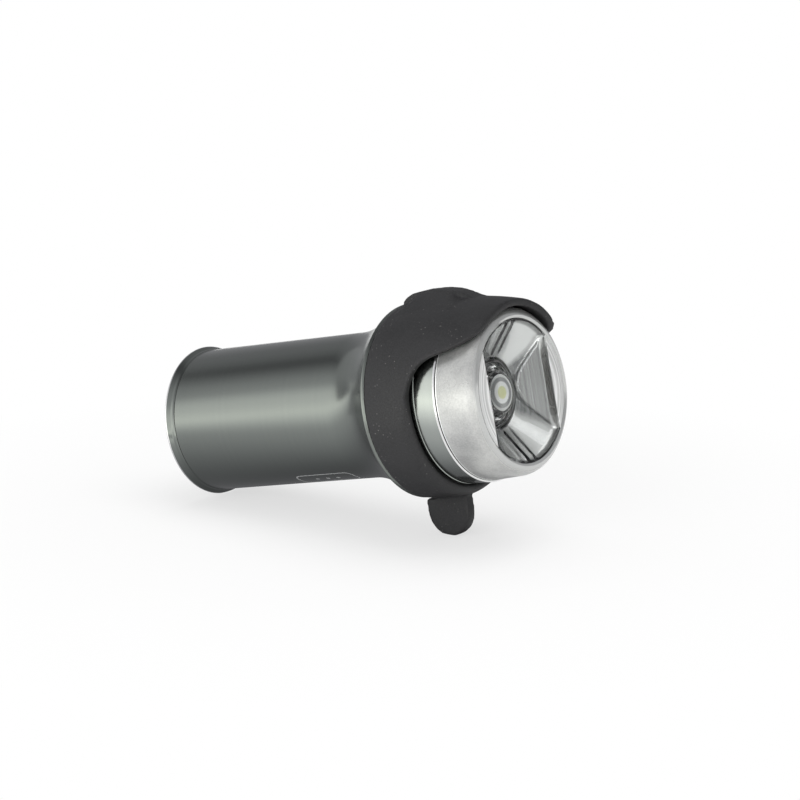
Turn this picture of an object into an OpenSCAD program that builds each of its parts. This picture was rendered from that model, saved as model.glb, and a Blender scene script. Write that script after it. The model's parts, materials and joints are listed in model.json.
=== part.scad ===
// Compact bicycle headlight: turned aluminium barrel, clear front lens and a silicone band with a glare hood.
// Every piece is drawn on the light's own axis (z forward from the rear face, y up) and then laid down
// nose-up, resting on the bead of the rear cap and on the tip of the pull tab.

/* [Barrel] */
// Outer diameter of the barrel
barrel_d = 21; // [20.6:0.1:22]
// Bore that holds the cell
bore_d = 17.2; // [16.9:0.1:17.6]
// Radius of the concave flare
flare_r = 14; // [9:0.5:17]
// Diameter of the flare's rim
flare_rim_d = 27.7; // [27.4:0.1:30]
// Width of the land on the flare's rim
flare_rim_w = 0.4; // [0.3:0.1:1]
// Diameter of the neck that carries the band
neck_d = 22.8; // [22.4:0.1:23.4]
// Length of the neck
neck_len = 6.8; // [5.8:0.1:9]
// Bore of the head, which seats the heat spreader
head_bore_d = 20; // [19.4:0.1:20.4]
// Metal between the flare's rim and the heat spreader's seat
head_wall = 1.6; // [0.8:0.1:3]

/* [Rear cap] */
// How far the bead stands proud of the barrel
bead_step = 0.7; // [0.6:0.1:1.5]
// Width of the bead
bead_w = 2.6; // [2.5:0.1:4]
// Rounding of the bead's edges
bead_round = 1.2; // [0.6:0.1:1.2]
// Thickness of the cap's end wall
cap_wall = 2.2; // [2:0.1:2.5]
// Diameter of the spigot inside the barrel
spigot_d = 18.5; // [18.1:0.1:18.6]
// Length of the spigot
spigot_len = 5.8; // [5.6:0.1:9]
// Metal of the spigot under the seal's groove
spigot_wall = 0.55; // [0.4:0.05:0.6]

/* [Seals] */
// Cord diameter of the cap's O-ring
cap_seal_cord = 0.84; // [0.7:0.02:0.9]
// Cord diameter of the lens's O-ring
lens_seal_cord = 0.9; // [0.7:0.02:1]
// Room round a seal in its groove
seal_room = 0.06; // [0.02:0.01:0.1]

/* [Button] */
// Diameter of the button
button_d = 6.8; // [6:0.1:7]
// Room between the button's flange and the cap's inner wall
button_margin = 0.5; // [0.3:0.1:0.6]
// Depth of the button's face below the rear face
button_sink = 0.3; // [0.1:0.1:0.6]
// Width of the flange that keeps the button in
button_lip = 0.5; // [0.3:0.1:0.6]
// Thickness of that flange
button_lip_t = 0.8; // [0.5:0.1:1]
// Diameter of the button's stem
stem_d = 2.4; // [1.6:0.1:3]
// Travel of the button
button_travel = 0.5; // [0.3:0.05:0.6]

/* [Switch] */
// Side of the switch's square body
switch_w = 5; // [4:0.1:5.2]
// Height of the switch's body
switch_h = 2.6; // [2.2:0.1:2.8]
// Diameter of the plunger
plunger_d = 2; // [1.6:0.1:2.6]
// Length of the plunger that stands out of the switch
plunger_out = 0.9; // [0.8:0.05:1]
// Length of the plunger inside the switch
plunger_in = 0.8; // [0.5:0.1:1]

/* [Charging port] */
// Depth of the port's centre below the axis
port_y = 4.4; // [4.2:0.1:4.5]
// Width of the socket's shell
socket_w = 8.94; // [8.9:0.02:9]
// Height of the socket's shell
socket_h = 3.26; // [3.2:0.02:3.4]
// Wall of the socket's shell
socket_wall = 0.3; // [0.2:0.05:0.4]
// Back wall of the socket
socket_back = 0.8; // [0.5:0.1:1.2]
// Width of the contact tongue
tongue_w = 6.7; // [6:0.1:7]
// Thickness of the contact tongue
tongue_t = 0.7; // [0.6:0.05:0.8]
// Depth of the tongue's tip behind the socket's mouth
tongue_sink = 0.7; // [0.4:0.1:1]

/* [Port cover] */
// Height of the cover's plate
cover_h = 5.2; // [5:0.1:5.4]
// Distance from the port's centre to the plate's free end
cover_reach = 5.4; // [5.2:0.1:5.6]
// Distance from the port's centre to the hinge line
cover_hinge_x = 5.2; // [5.1:0.1:5.3]
// Thickness of the cover's plate
cover_t = 1.2; // [1:0.05:1.25]
// Depth of the cover's face below the rear face
cover_sink = 0.15; // [0.1:0.05:0.2]
// Angle to which the cover swings open
cover_swing = 110; // [90:5:120]
// Room between the plug of the cover and its slot
plug_room = 0.2; // [0.15:0.05:0.25]
// Radius of the fingernail notch beside the cover
notch_r = 1.2; // [0.8:0.1:1.4]

/* [Charge indicator] */
// Diameter of the light pipe
pipe_d = 1.8; // [1.2:0.1:2]
// Room between the light pipe and the cap's inner wall
pipe_margin = 0.7; // [0.5:0.1:0.8]
// Drop of the light pipe below the axis
pipe_drop = 0.4; // [0:0.1:0.6]
// Height of the indicator lamp
status_h = 0.8; // [0.5:0.1:1]

/* [Boards] */
// Room between both round boards and the bore
board_room = 0.5; // [0.4:0.05:0.6]
// Thickness of both round boards
board_t = 1; // [0.8:0.1:1.6]
// Height of the parts on the charge board
parts_h = 1.2; // [0.8:0.1:2]
// Height of the parts on the driver board
driver_parts_h = 0.7; // [0.5:0.1:1.5]
// Distance from the charge board's edge to its screws
board_screw_inset = 1.2; // [1.1:0.1:1.4]
// Angle of the charge board's screws above the level
board_screw_angle = 20; // [16:1:30]
// Side of the charger chip
charger_w = 4; // [3:0.5:4]
// Sideways place of the charger chip
charger_x = -3.2; // [-3.2:0.1:-2.8]
// Height of the charger chip's place
charger_y = -3; // [-3:0.1:-2.6]
// Width of the coil
coil_w = 3; // [2:0.2:3]
// Depth of the coil
coil_d = 2.4; // [2:0.2:2.6]
// Sideways place of the coil
coil_x = 4.6; // [4:0.1:4.6]
// Height of the coil's place
coil_y = -2.6; // [-2.6:0.1:-2]
// Side of the driver chip
driver_chip_w = 3; // [2:0.5:3]
// Sideways place of the driver chip
driver_chip_x = 3.2; // [2.6:0.1:3.2]
// Height of the driver chip's place
driver_chip_y = -3.4; // [-3.4:0.1:-3]
// Length of a small part
small_l = 1; // [0.6:0.1:1.2]
// Width of a small part
small_w = 0.6; // [0.3:0.1:0.8]
// Distance between small parts on the charge board
small_pitch = 2.4; // [1.6:0.1:2.4]
// Height of the row of small parts on the charge board
small_row_y = 5.8; // [5:0.1:5.8]
// Distance between small parts on the driver board
driver_pitch = 1.6; // [1.4:0.1:2]
// Height of the row of small parts on the driver board
driver_row_y = 5.2; // [4.8:0.1:5.6]

/* [Cell] */
// Room between the cell and the bore
cell_room = 0.6; // [0.4:0.1:1.5]
// Length of the cell
cell_len = 28; // [26:0.5:36]
// Thickness of the insulating washers
insulator_t = 0.4; // [0.2:0.1:0.8]
// Hole in the insulating washers
insulator_hole_d = 8; // [7:0.5:10]
// Width of the cell's solder tabs
tab_strip_w = 3; // [2:0.5:4]
// Distance from the axis to the leg of a solder tab
tab_leg_x = 2.4; // [1.6:0.1:3]
// Thickness of the cell's solder tabs
tab_strip_t = 0.2; // [0.1:0.05:0.3]
// Thickness of the flat cable
flex_t = 0.2; // [0.1:0.05:0.2]
// Arc that the flat cable covers
flex_angle = 36; // [20:2:60]

/* [Lamp] */
// Thickness of the heat spreader
carrier_t = 2.6; // [2.2:0.1:4]
// Height of the heat spreader's rear lip
carrier_lip_h = 0.5; // [0.3:0.1:1]
// Width of the heat spreader's rear lip
carrier_lip_w = 0.8; // [0.5:0.1:1.2]
// Room between the lamp's board and the ring round it
led_board_room = 0.3; // [0.2:0.1:0.6]
// Thickness of the lamp's board
led_board_t = 1.6; // [1:0.1:2]
// Side of the lamp's ceramic base
led_w = 3.4; // [3:0.1:3.5]
// Height of the lamp's ceramic base
led_h = 0.7; // [0.5:0.05:0.7]
// Side of the phosphor square
phosphor_w = 1.8; // [1:0.1:2]
// Thickness of the phosphor square
phosphor_t = 0.15; // [0.1:0.05:0.15]
// Diameter of a lamp wire
wire_d = 0.9; // [0.6:0.1:1]

/* [Screws] */
// Thread diameter of the small screws
screw_d = 1.4; // [1.2:0.1:1.6]
// Head diameter of the small screws
screw_head_d = 2.4; // [2:0.1:2.6]
// Head height of the small screws
screw_head_h = 0.9; // [0.6:0.1:1]
// Length of thread in the metal
screw_grip = 1.8; // [1.2:0.1:2]

/* [Head ring] */
// Length of the ring
ring_len = 4.3; // [4:0.1:8]
// Chamfer at the ring's rear edge
ring_chamfer = 0.5; // [0.2:0.1:0.6]
// Chamfer at the ring's front edge
ring_front_chamfer = 0.25; // [0.1:0.05:0.25]
// Wall of the ring round the lens's spigot
ring_wall = 1.75; // [1.6:0.05:2]
// Bore of the ring's rear part, round the lamp's board
ring_waist_d = 17.2; // [17:0.1:17.6]
// Thickness of the seat under the lens's spigot
ring_seat = 1.4; // [1:0.1:1.6]

/* [Lens] */
// Step from the ring in to the lens
lens_step = 0.25; // [0.2:0.05:0.4]
// How far the lens narrows towards its front rounding
lens_taper = 0.3; // [0.1:0.05:0.5]
// Length of the lens in front of the ring
lens_len = 6.4; // [5:0.1:9]
// Radius of the front rounding
lens_round = 1.6; // [1:0.1:2]
// Width of the lens's rim round the bowl
bowl_rim = 2; // [1.8:0.1:2.4]
// Diameter of the bowl's floor
bowl_floor_d = 9.4; // [9:0.1:9.8]
// Thickness of the bowl's floor
bowl_floor_t = 1.7; // [0.8:0.1:2]
// Wall of the bowl, measured along the radius
bowl_wall = 1.8; // [1.4:0.1:2.2]
// Thickness of the lens's side wall at the ring
lens_wall = 2.45; // [2.2:0.05:2.7]
// Wall of the lens's spigot
lens_spigot_wall = 1.55; // [1.4:0.05:1.7]
// Width of the two ribs in the bowl
bowl_rib_w = 1.6; // [1:0.1:2.4]
// Height of the two ribs in the bowl
bowl_rib_h = 0.6; // [0.3:0.1:0.8]

/* [Optic] */
// Diameter of the collimator at its front
optic_d = 8.8; // [8.4:0.1:9]
// Diameter of the collimator's flange
optic_flange_d = 10; // [9.8:0.1:10.4]
// Thickness of the collimator's flange
optic_flange_t = 0.6; // [0.4:0.1:0.8]
// Diameter of the collimator's rear end
optic_rear_d = 4.4; // [4:0.1:4.8]
// Diameter of the hollow over the lamp
optic_hollow_d = 3.2; // [2.8:0.1:3.4]
// Depth of the hollow over the lamp
optic_hollow_h = 2; // [1.5:0.1:2.5]
// Depth of the cone at the hollow's end
optic_cone_h = 0.6; // [0.3:0.1:1]
// Wall of the holder
holder_wall = 0.6; // [0.5:0.1:0.7]

/* [Silicone band] */
// Thickness of the hood
hood_t = 1; // [0.9:0.05:1.05]
// How far the hood reaches past the lens
hood_overhang = 0.5; // [0.3:0.1:1.5]
// How far the hood's outer line falls at its front edge
hood_drop = 1.15; // [0.9:0.05:1.2]
// Height of the hood's side edge where it leaves the collar
hood_edge_root = 2.2; // [0:0.1:4]
// Height of the hood's side edge halfway along
hood_edge_mid = 7; // [6:0.1:8]
// Height at which the hood's side edge meets its front edge
hood_edge_front = 11; // [10:0.1:12]
// Slope of the hood's side edge at its root, as a height over the hood's thickness
edge_root_rise = 2.9; // [1.5:0.1:3.5]
// Length of the level stretch each side of the side edge's middle
edge_level = 3.2; // [2:0.1:4]
// Rise of that stretch
edge_level_rise = 0.5; // [0.2:0.1:1]
// Length of the side edge's steep end
edge_steep = 3.2; // [2:0.1:3.8]
// How far that end leans forward
edge_lean = 0.2; // [0.1:0.1:0.8]
// Thickness of the collar over the ring
collar_wall = 1.2; // [1:0.05:1.4]
// Length of the collar in front of the neck, over the ring
collar_lip = 0.3; // [0.2:0.1:1]
// Rounding of the collar's edges
collar_round = 0.5; // [0.2:0.1:0.5]
// Height of the lobe above the collar
lobe_h = 1.55; // [1:0.05:2.5]
// Thickness of the lobe
lobe_t = 2.8; // [2:0.1:5]
// How far the lobe reaches behind the flare's rim
lobe_rear = 0.5; // [0.3:0.1:3]
// Place of the lobe's crest in front of the flare's rim
lobe_ahead = 6.16; // [4:0.02:8]
// Length of the lobe's curve on each side of its crest
lobe_ease = 3.2; // [2:0.1:4]
// Length of the lobe's front foot
lobe_toe = 2; // [1:0.1:3]
// Height of the lobe's front foot
lobe_toe_h = 1; // [0.5:0.1:1.5]
// How deep the lobe's foot and the swelling sink into the band
lobe_sink = 0.2; // [0.1:0.05:0.4]
// How far the lobe reaches in front of the neck
lobe_front = 6; // [4:0.1:6]
// Length of the swelling across the lobe
swell_len = 4.6; // [3:0.1:6]
// Half width of the swelling across the lobe
swell_half = 7.5; // [6:0.1:8]
// Reach of the pull tab from the axis
tab_reach = 19.6; // [18.6:0.1:24]
// Width of the pull tab
tab_w = 7; // [6:0.1:10]
// Thickness of the pull tab
tab_t = 1.6; // [1.4:0.1:4]
// Place of the pull tab's middle in front of the flare's rim
tab_ahead = 1.7; // [1.2:0.1:3]

/* [Clearances] */
// Radial clearance of a turning or sliding fit
run_fit = 0.08; // [0.05:0.01:0.1]
// Radial clearance of a fixed fit
set_fit = 0.05; // [0.02:0.01:0.05]
// Room between soft or loose pieces and their neighbours
soft_gap = 0.15; // [0.1:0.05:0.2]
// Room round the silicone where it passes over metal
hood_gap = 0.3; // [0.2:0.05:0.3]

/* [Hidden] */
$fn = 96;
// Overlap of a cutting shape past the face that it opens
cut = 1;
// Steps along one drawn curve
curve_steps = 12;

// Stations along the axis, from the rear face forward
board_s = bead_w + spigot_len;
board_front = board_s + board_t;
cell_s = board_front + parts_h + soft_gap + insulator_t;
cell_front = cell_s + cell_len;
driver_s = cell_front + insulator_t + soft_gap + driver_parts_h;
driver_front = driver_s + board_t;
carrier_s = driver_front + carrier_lip_h;
carrier_front = carrier_s + carrier_t;
led_s = carrier_front + led_board_t;
rim_front = carrier_s - head_wall;
flare_end = rim_front - flare_rim_w;
ring_s = rim_front + neck_len;
ring_front = ring_s + ring_len;
lens_front = ring_front + lens_len;
spigot_seat = ring_s + ring_seat;
optic_front = ring_front - set_fit;
holder_front = optic_front - optic_flange_t;
socket_mouth = cap_wall + soft_gap;
stem_end = board_s - switch_h - plunger_out;

// Radii
barrel_r = barrel_d / 2;
bore_r = bore_d / 2;
neck_r = neck_d / 2;
rim_r = flare_rim_d / 2;
head_bore_r = head_bore_d / 2;
bead_r = barrel_r + bead_step;
board_r = bore_r - board_room;
board_screw_r = board_r - board_screw_inset;
cell_r = bore_r - cell_room;
spigot_r = spigot_d / 2;
groove_r = spigot_r - cap_seal_cord - seal_room;
hollow_r = groove_r - spigot_wall;
button_r = button_d / 2;
button_y = hollow_r - button_margin - button_lip - button_r;
pipe_r = pipe_d / 2;
pipe_x = hollow_r - pipe_margin - pipe_r;
ring_r = rim_r - collar_wall - hood_gap;
ring_bore_r = ring_r - ring_wall;
waist_r = ring_waist_d / 2;
lens_r = ring_r - lens_step;
lens_front_r = lens_r - lens_taper;
lens_inner_r = lens_r - lens_wall;
lens_spigot_r = ring_bore_r - set_fit;
lens_spigot_in_r = lens_spigot_r - lens_spigot_wall;
bowl_r = lens_front_r - bowl_rim;
bowl_floor_r = bowl_floor_d / 2;
optic_r = optic_d / 2;
holder_r = optic_r + set_fit + holder_wall;
led_board_r = waist_r - led_board_room;
led_fix_r = (holder_r + waist_r) / 2;
flare_rise = rim_r - barrel_r;
flare_start = flare_end - sqrt(flare_r * flare_r - (flare_r - flare_rise) * (flare_r - flare_rise));
rear_bore_r = spigot_r + set_fit;

// Port cover: hinge line at half the plate's thickness, and the room that the open cover needs behind it
hinge_s = cover_sink + cover_t / 2;
recess_s = cover_sink + cover_t + soft_gap;
lean = cover_swing - 90;
hinge_room = cover_t / 2 / cos(lean) + hinge_s * tan(lean) + soft_gap;
slot_w = socket_w + 2 * socket_wall;
slot_h = socket_h + 2 * socket_wall;

// Silicone band
collar_s = rim_front + soft_gap;
collar_foot = ring_s - soft_gap;
collar_front = ring_s + collar_lip;
collar_bore_r = neck_r + run_fit;
collar_step_r = ring_r + hood_gap;
hood_front = lens_front + hood_overhang;
hood_curve_r = ((hood_front - collar_front) * (hood_front - collar_front) / hood_drop + hood_drop) / 2;
over_rim_r = rim_r + hood_gap;
lobe_crest = rim_r + lobe_h;
lobe_crest_s = rim_front + lobe_ahead;
tab_s = rim_front + tab_ahead;

// Resting tilt: the bead and the tab's round end touch the same plane
tab_round = tab_w / 2;
rest_a = tab_reach - tab_round - (bead_r - bead_round);
rest_b = tab_s - bead_round;
rest_tilt = acos((bead_round - tab_round) / norm([rest_a, rest_b])) - atan2(rest_b, rest_a);
rest_h = (bead_r - bead_round) * cos(rest_tilt) + bead_round - bead_round * sin(rest_tilt);
// Ends of the laid-down light: the bead's top at the rear, the lens's lower rounding at the front
rear_x = bead_round * cos(rest_tilt) - (bead_r - bead_round) * sin(rest_tilt) - bead_round;
front_x = (lens_front - lens_round) * cos(rest_tilt) + (lens_front_r - lens_round) * sin(rest_tilt)
    + lens_round;
mid_x = (rear_x + front_x) / 2;

// Lay the light down from its own axis
module lay_down() {
    translate([-mid_x, 0, rest_h]) rotate([0, -rest_tilt, 0]) rotate([90, 0, 90]) children();
}

// Ring section between two radii and two stations
module band_2d(r0, r1, s0, s1) {
    translate([r0, s0]) square([r1 - r0, s1 - s0]);
}

// Sliver outside a rounded corner; the corner points towards +r, and towards +s unless it is low
module corner_2d(r, s, round, low = false) {
    translate([r, s]) mirror([0, low ? 1 : 0]) translate([-round, -round]) difference() {
        square(round + cut);
        circle(round);
    }
}

// Tube along the axis
module tube(r0, r1, s0, s1) {
    rotate_extrude() band_2d(r0, r1, s0, s1);
}

// Round bar along the axis at a place in the cross-section
module rod(r, s0, s1, x = 0, y = 0) {
    translate([x, y, s0]) cylinder(r = r, h = s1 - s0);
}

// Block along the axis, centred on a place in the cross-section
module block(w, h, s0, s1, x = 0, y = 0) {
    translate([x - w / 2, y - h / 2, s0]) cube([w, h, s1 - s0]);
}

// Slot with round ends, centred
module slot_2d(w, h) {
    square([w - h, h], center = true);
    for (side = [-1, 1]) translate([side * (w - h) / 2, 0]) circle(d = h);
}

module slot(w, h, s0, s1, y) {
    translate([0, y, s0]) linear_extrude(s1 - s0) slot_2d(w, h);
}

// Plate outline of the cover: round at the free end, straight at the hinge
module cover_2d(reach, hinge, h) {
    translate([-reach + h / 2, 0]) circle(d = h);
    translate([-reach + h / 2, -h / 2]) square([reach - h / 2 + hinge, h]);
}

// Point on a cubic curve
function curve_at(p, t) = pow(1 - t, 3) * p[0] + 3 * t * pow(1 - t, 2) * p[1]
    + 3 * t * t * (1 - t) * p[2] + pow(t, 3) * p[3];
function curve(p) = [for (i = [0 : curve_steps]) curve_at(p, i / curve_steps)];

// Screw along the axis with its head towards +s, head seat at station s
module screw(s, grip) {
    rod(screw_d / 2, s - grip, s);
    rod(screw_head_d / 2, s, s + screw_head_h);
}

// The charge board's screws lie a little above the level, left and right
module at_board_screws() {
    for (side = [-1, 1])
        translate([side * board_screw_r * cos(board_screw_angle), board_screw_r * sin(board_screw_angle), 0])
            children();
}

// The lamp board's screws lie level with the axis, its wires above and below
module at_led_screws() {
    for (side = [-1, 1]) translate([side * led_fix_r, 0, 0]) children();
}

module at_led_wires() {
    for (side = [-1, 1]) translate([0, side * led_fix_r, 0]) children();
}

module barrel() {
    color([0.46, 0.47, 0.46]) lay_down() rotate_extrude() difference() {
        union() {
            band_2d(bore_r, rim_r, bead_w, rim_front);
            band_2d(bore_r, neck_r, rim_front - cut, ring_s);
        }
        band_2d(barrel_r, rim_r + cut, bead_w - cut, flare_start);
        translate([barrel_r + flare_r, flare_start]) circle(flare_r, $fn = 240);
        band_2d(0, rear_bore_r, bead_w - cut, board_front);
        band_2d(0, head_bore_r, carrier_s, ring_s + cut);
    }
}

module rear_cap() {
    groove_s = bead_w + spigot_len / 2;
    groove_half = cap_seal_cord / 2 + seal_room;
    color([0.5, 0.51, 0.5]) lay_down() difference() {
        union() {
            rotate_extrude() difference() {
                union() {
                    band_2d(0, bead_r, 0, bead_w);
                    band_2d(0, spigot_r, bead_w - cut, board_s);
                }
                corner_2d(bead_r, 0, bead_round, low = true);
                corner_2d(bead_r, bead_w, bead_round);
                band_2d(0, hollow_r, cap_wall, board_s + cut);
                band_2d(groove_r, spigot_r + cut, groove_s - groove_half, groove_s + groove_half);
            }
            intersection() {
                tube(0, hollow_r + set_fit, cap_wall - set_fit, board_s);
                at_board_screws() rod(screw_head_d / 2, 0, board_s);
            }
        }
        rod(button_r + run_fit, -cut, cap_wall + cut, 0, button_y);
        rod(pipe_r + set_fit, -cut, cap_wall + cut, pipe_x, -pipe_drop);
        slot(slot_w, slot_h, -cut, cap_wall + cut, -port_y);
        translate([0, -port_y, -cut]) linear_extrude(recess_s + cut)
            cover_2d(cover_reach + soft_gap, cover_hinge_x + hinge_room, cover_h + 2 * soft_gap);
        translate([-cover_reach - soft_gap, -port_y, 0]) sphere(notch_r);
        at_board_screws() rod(screw_d / 2, board_s - screw_grip, board_s + cut);
    }
}

module cap_seal() {
    color([0.08, 0.08, 0.08]) lay_down() rotate_extrude()
        translate([(groove_r + spigot_r) / 2, bead_w + spigot_len / 2]) circle(d = cap_seal_cord);
}

module button() {
    lip_s = cap_wall + set_fit;
    color([0.12, 0.12, 0.12]) lay_down() translate([0, button_y, 0]) {
        rotate_extrude() difference() {
            union() {
                band_2d(0, button_r, button_sink, lip_s + button_lip_t);
                band_2d(0, button_r + button_lip, lip_s, lip_s + button_lip_t);
            }
            corner_2d(button_r, button_sink, button_lip, low = true);
        }
        rod(stem_d / 2, lip_s, stem_end);
    }
}

module tact_switch() {
    top = board_s - switch_h;
    color([0.15, 0.15, 0.16]) lay_down() translate([0, button_y, 0]) difference() {
        block(switch_w, switch_w, top, board_s);
        rod(plunger_d / 2 + run_fit, top - cut, top + plunger_in + button_travel + soft_gap);
    }
}

module switch_plunger() {
    color([0.75, 0.74, 0.7]) lay_down()
        rod(plunger_d / 2, stem_end, stem_end + plunger_out + plunger_in, 0, button_y);
}

module port_cover() {
    plug_s = cover_sink + cover_t;
    color([0.1, 0.1, 0.1]) lay_down() translate([0, -port_y, 0]) {
        translate([0, 0, cover_sink]) linear_extrude(cover_t) cover_2d(cover_reach, cover_hinge_x, cover_h);
        translate([cover_hinge_x, cover_h / 2, hinge_s]) rotate([90, 0, 0])
            cylinder(d = cover_t, h = cover_h);
        slot(slot_w - 2 * plug_room, slot_h - 2 * plug_room, plug_s - soft_gap, cap_wall, 0);
    }
}

module usb_socket() {
    color([0.72, 0.73, 0.74]) lay_down() difference() {
        slot(socket_w, socket_h, socket_mouth, board_s, -port_y);
        slot(socket_w - 2 * socket_wall, socket_h - 2 * socket_wall, socket_mouth - cut,
            board_s - socket_back, -port_y);
    }
}

module usb_tongue() {
    color([0.1, 0.1, 0.1]) lay_down()
        block(tongue_w, tongue_t, socket_mouth + tongue_sink, board_s - socket_back, 0, -port_y);
}

module light_pipe() {
    color([0.85, 0.88, 0.9, 0.6]) lay_down()
        rod(pipe_r, cover_sink, board_s - status_h, pipe_x, -pipe_drop);
}

module status_led() {
    color([0.9, 0.9, 0.85]) lay_down()
        block(pipe_d, pipe_r, board_s - status_h, board_s, pipe_x, -pipe_drop);
}

module charge_board() {
    color([0.05, 0.25, 0.15]) lay_down() difference() {
        rod(board_r, board_s, board_front);
        at_board_screws() rod(screw_d / 2 + set_fit, board_s - cut, board_front + cut);
    }
}

module board_parts() {
    top = board_front + parts_h;
    color([0.1, 0.1, 0.11]) lay_down() {
        block(charger_w, charger_w, board_front, top, charger_x, charger_y);
        block(coil_w, coil_d, board_front, top, coil_x, coil_y);
        for (step = [-1 : 1])
            block(small_l, small_w, board_front, board_front + parts_h / 2, small_pitch * step, small_row_y);
    }
}

module board_screws() {
    color([0.7, 0.7, 0.7]) lay_down() at_board_screws() screw(board_front, board_t + screw_grip);
}

module rear_insulator() {
    color([0.85, 0.85, 0.8]) lay_down() tube(insulator_hole_d / 2, cell_r, cell_s - insulator_t, cell_s);
}

module front_insulator() {
    color([0.85, 0.85, 0.8]) lay_down()
        tube(insulator_hole_d / 2, cell_r, cell_front, cell_front + insulator_t);
}

module battery_cell() {
    color([0.2, 0.35, 0.6]) lay_down() rod(cell_r, cell_s, cell_front);
}

// Solder tabs: a foot on the cell's end and a leg to the board
module cell_tabs() {
    color([0.8, 0.8, 0.78]) lay_down() {
        block(2 * tab_leg_x, tab_strip_w, cell_s - tab_strip_t, cell_s);
        block(tab_strip_t, tab_strip_w, board_front, cell_s - tab_strip_t, tab_leg_x - tab_strip_t / 2);
        block(2 * tab_leg_x, tab_strip_w, cell_front, cell_front + tab_strip_t);
        block(tab_strip_t, tab_strip_w, cell_front + tab_strip_t, driver_s, tab_strip_t / 2 - tab_leg_x);
    }
}

module link_flex() {
    inner = board_r + set_fit;
    color([0.75, 0.5, 0.15]) lay_down() rotate([0, 0, -90 - flex_angle / 2])
        rotate_extrude(angle = flex_angle)
            band_2d(inner, inner + flex_t, board_s + soft_gap, driver_front - soft_gap);
}

module driver_board() {
    color([0.05, 0.25, 0.15]) lay_down() rod(board_r, driver_s, driver_front);
}

module driver_parts() {
    low = driver_s - driver_parts_h;
    color([0.1, 0.1, 0.11]) lay_down() {
        block(driver_chip_w, driver_chip_w, low, driver_s, driver_chip_x, driver_chip_y);
        for (step = [-1 : 1]) block(small_l, small_w, low, driver_s, driver_pitch * step, driver_row_y);
    }
}

module led_carrier() {
    color([0.7, 0.71, 0.72]) lay_down() difference() {
        union() {
            rod(head_bore_r - set_fit, carrier_s, carrier_front);
            tube(board_r - carrier_lip_w, board_r, driver_front, carrier_s);
        }
        at_led_screws() rod(screw_d / 2, carrier_front - screw_grip, carrier_front + cut);
        at_led_wires() rod(wire_d / 2 + soft_gap, carrier_s - cut, carrier_front + cut);
    }
}

module led_board() {
    color([0.9, 0.9, 0.9]) lay_down() difference() {
        rod(led_board_r, carrier_front, led_s);
        at_led_screws() rod(screw_d / 2 + set_fit, carrier_front - cut, led_s + cut);
        at_led_wires() rod(wire_d / 2 + soft_gap, carrier_front - cut, led_s + cut);
    }
}

module led_board_screws() {
    color([0.7, 0.7, 0.7]) lay_down() at_led_screws() screw(led_s, led_board_t + screw_grip);
}

module led_wires() {
    color([0.7, 0.1, 0.1]) lay_down() at_led_wires() rod(wire_d / 2, driver_front, led_s + wire_d / 2);
}

module led_emitter() {
    color([0.92, 0.92, 0.9]) lay_down() block(led_w, led_w, led_s, led_s + led_h);
}

module led_phosphor() {
    color([0.95, 0.85, 0.25]) lay_down()
        block(phosphor_w, phosphor_w, led_s + led_h, led_s + led_h + phosphor_t);
}

module optic_holder() {
    color([0.2, 0.2, 0.2]) lay_down()
        tube(optic_r + set_fit, holder_r, led_s, holder_front);
}

// Collimator: its flank is a parabola from the rear end to the flange
module collimator() {
    rear_s = led_s + led_h + 2 * phosphor_t;
    rear_r = optic_rear_d / 2;
    flank = [for (i = [0 : curve_steps]) let (t = i / curve_steps)
        [rear_r + (optic_r - rear_r) * t, rear_s + (holder_front - rear_s) * t * t]];
    flange = [[optic_flange_d / 2, holder_front], [optic_flange_d / 2, optic_front], [0, optic_front]];
    hollow_end = rear_s + optic_hollow_h;
    hollow = [[0, hollow_end], [optic_hollow_d / 2, hollow_end - optic_cone_h], [optic_hollow_d / 2, rear_s]];
    color([0.9, 0.93, 0.95, 0.5]) lay_down() rotate_extrude() polygon(concat(flank, flange, hollow));
}

// Head ring: its rear sleeve clamps the heat spreader, its front takes the lens
module head_ring() {
    color([0.55, 0.56, 0.53]) lay_down() rotate_extrude() difference() {
        union() {
            band_2d(waist_r, head_bore_r - set_fit, carrier_front, ring_s + cut);
            band_2d(waist_r, ring_r, ring_s, ring_front);
        }
        band_2d(0, ring_bore_r, spigot_seat, ring_front + cut);
        translate([ring_r, ring_s]) rotate(45) square(ring_chamfer * sqrt(2), center = true);
        translate([ring_r, ring_front]) rotate(45) square(ring_front_chamfer * sqrt(2), center = true);
    }
}

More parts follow.
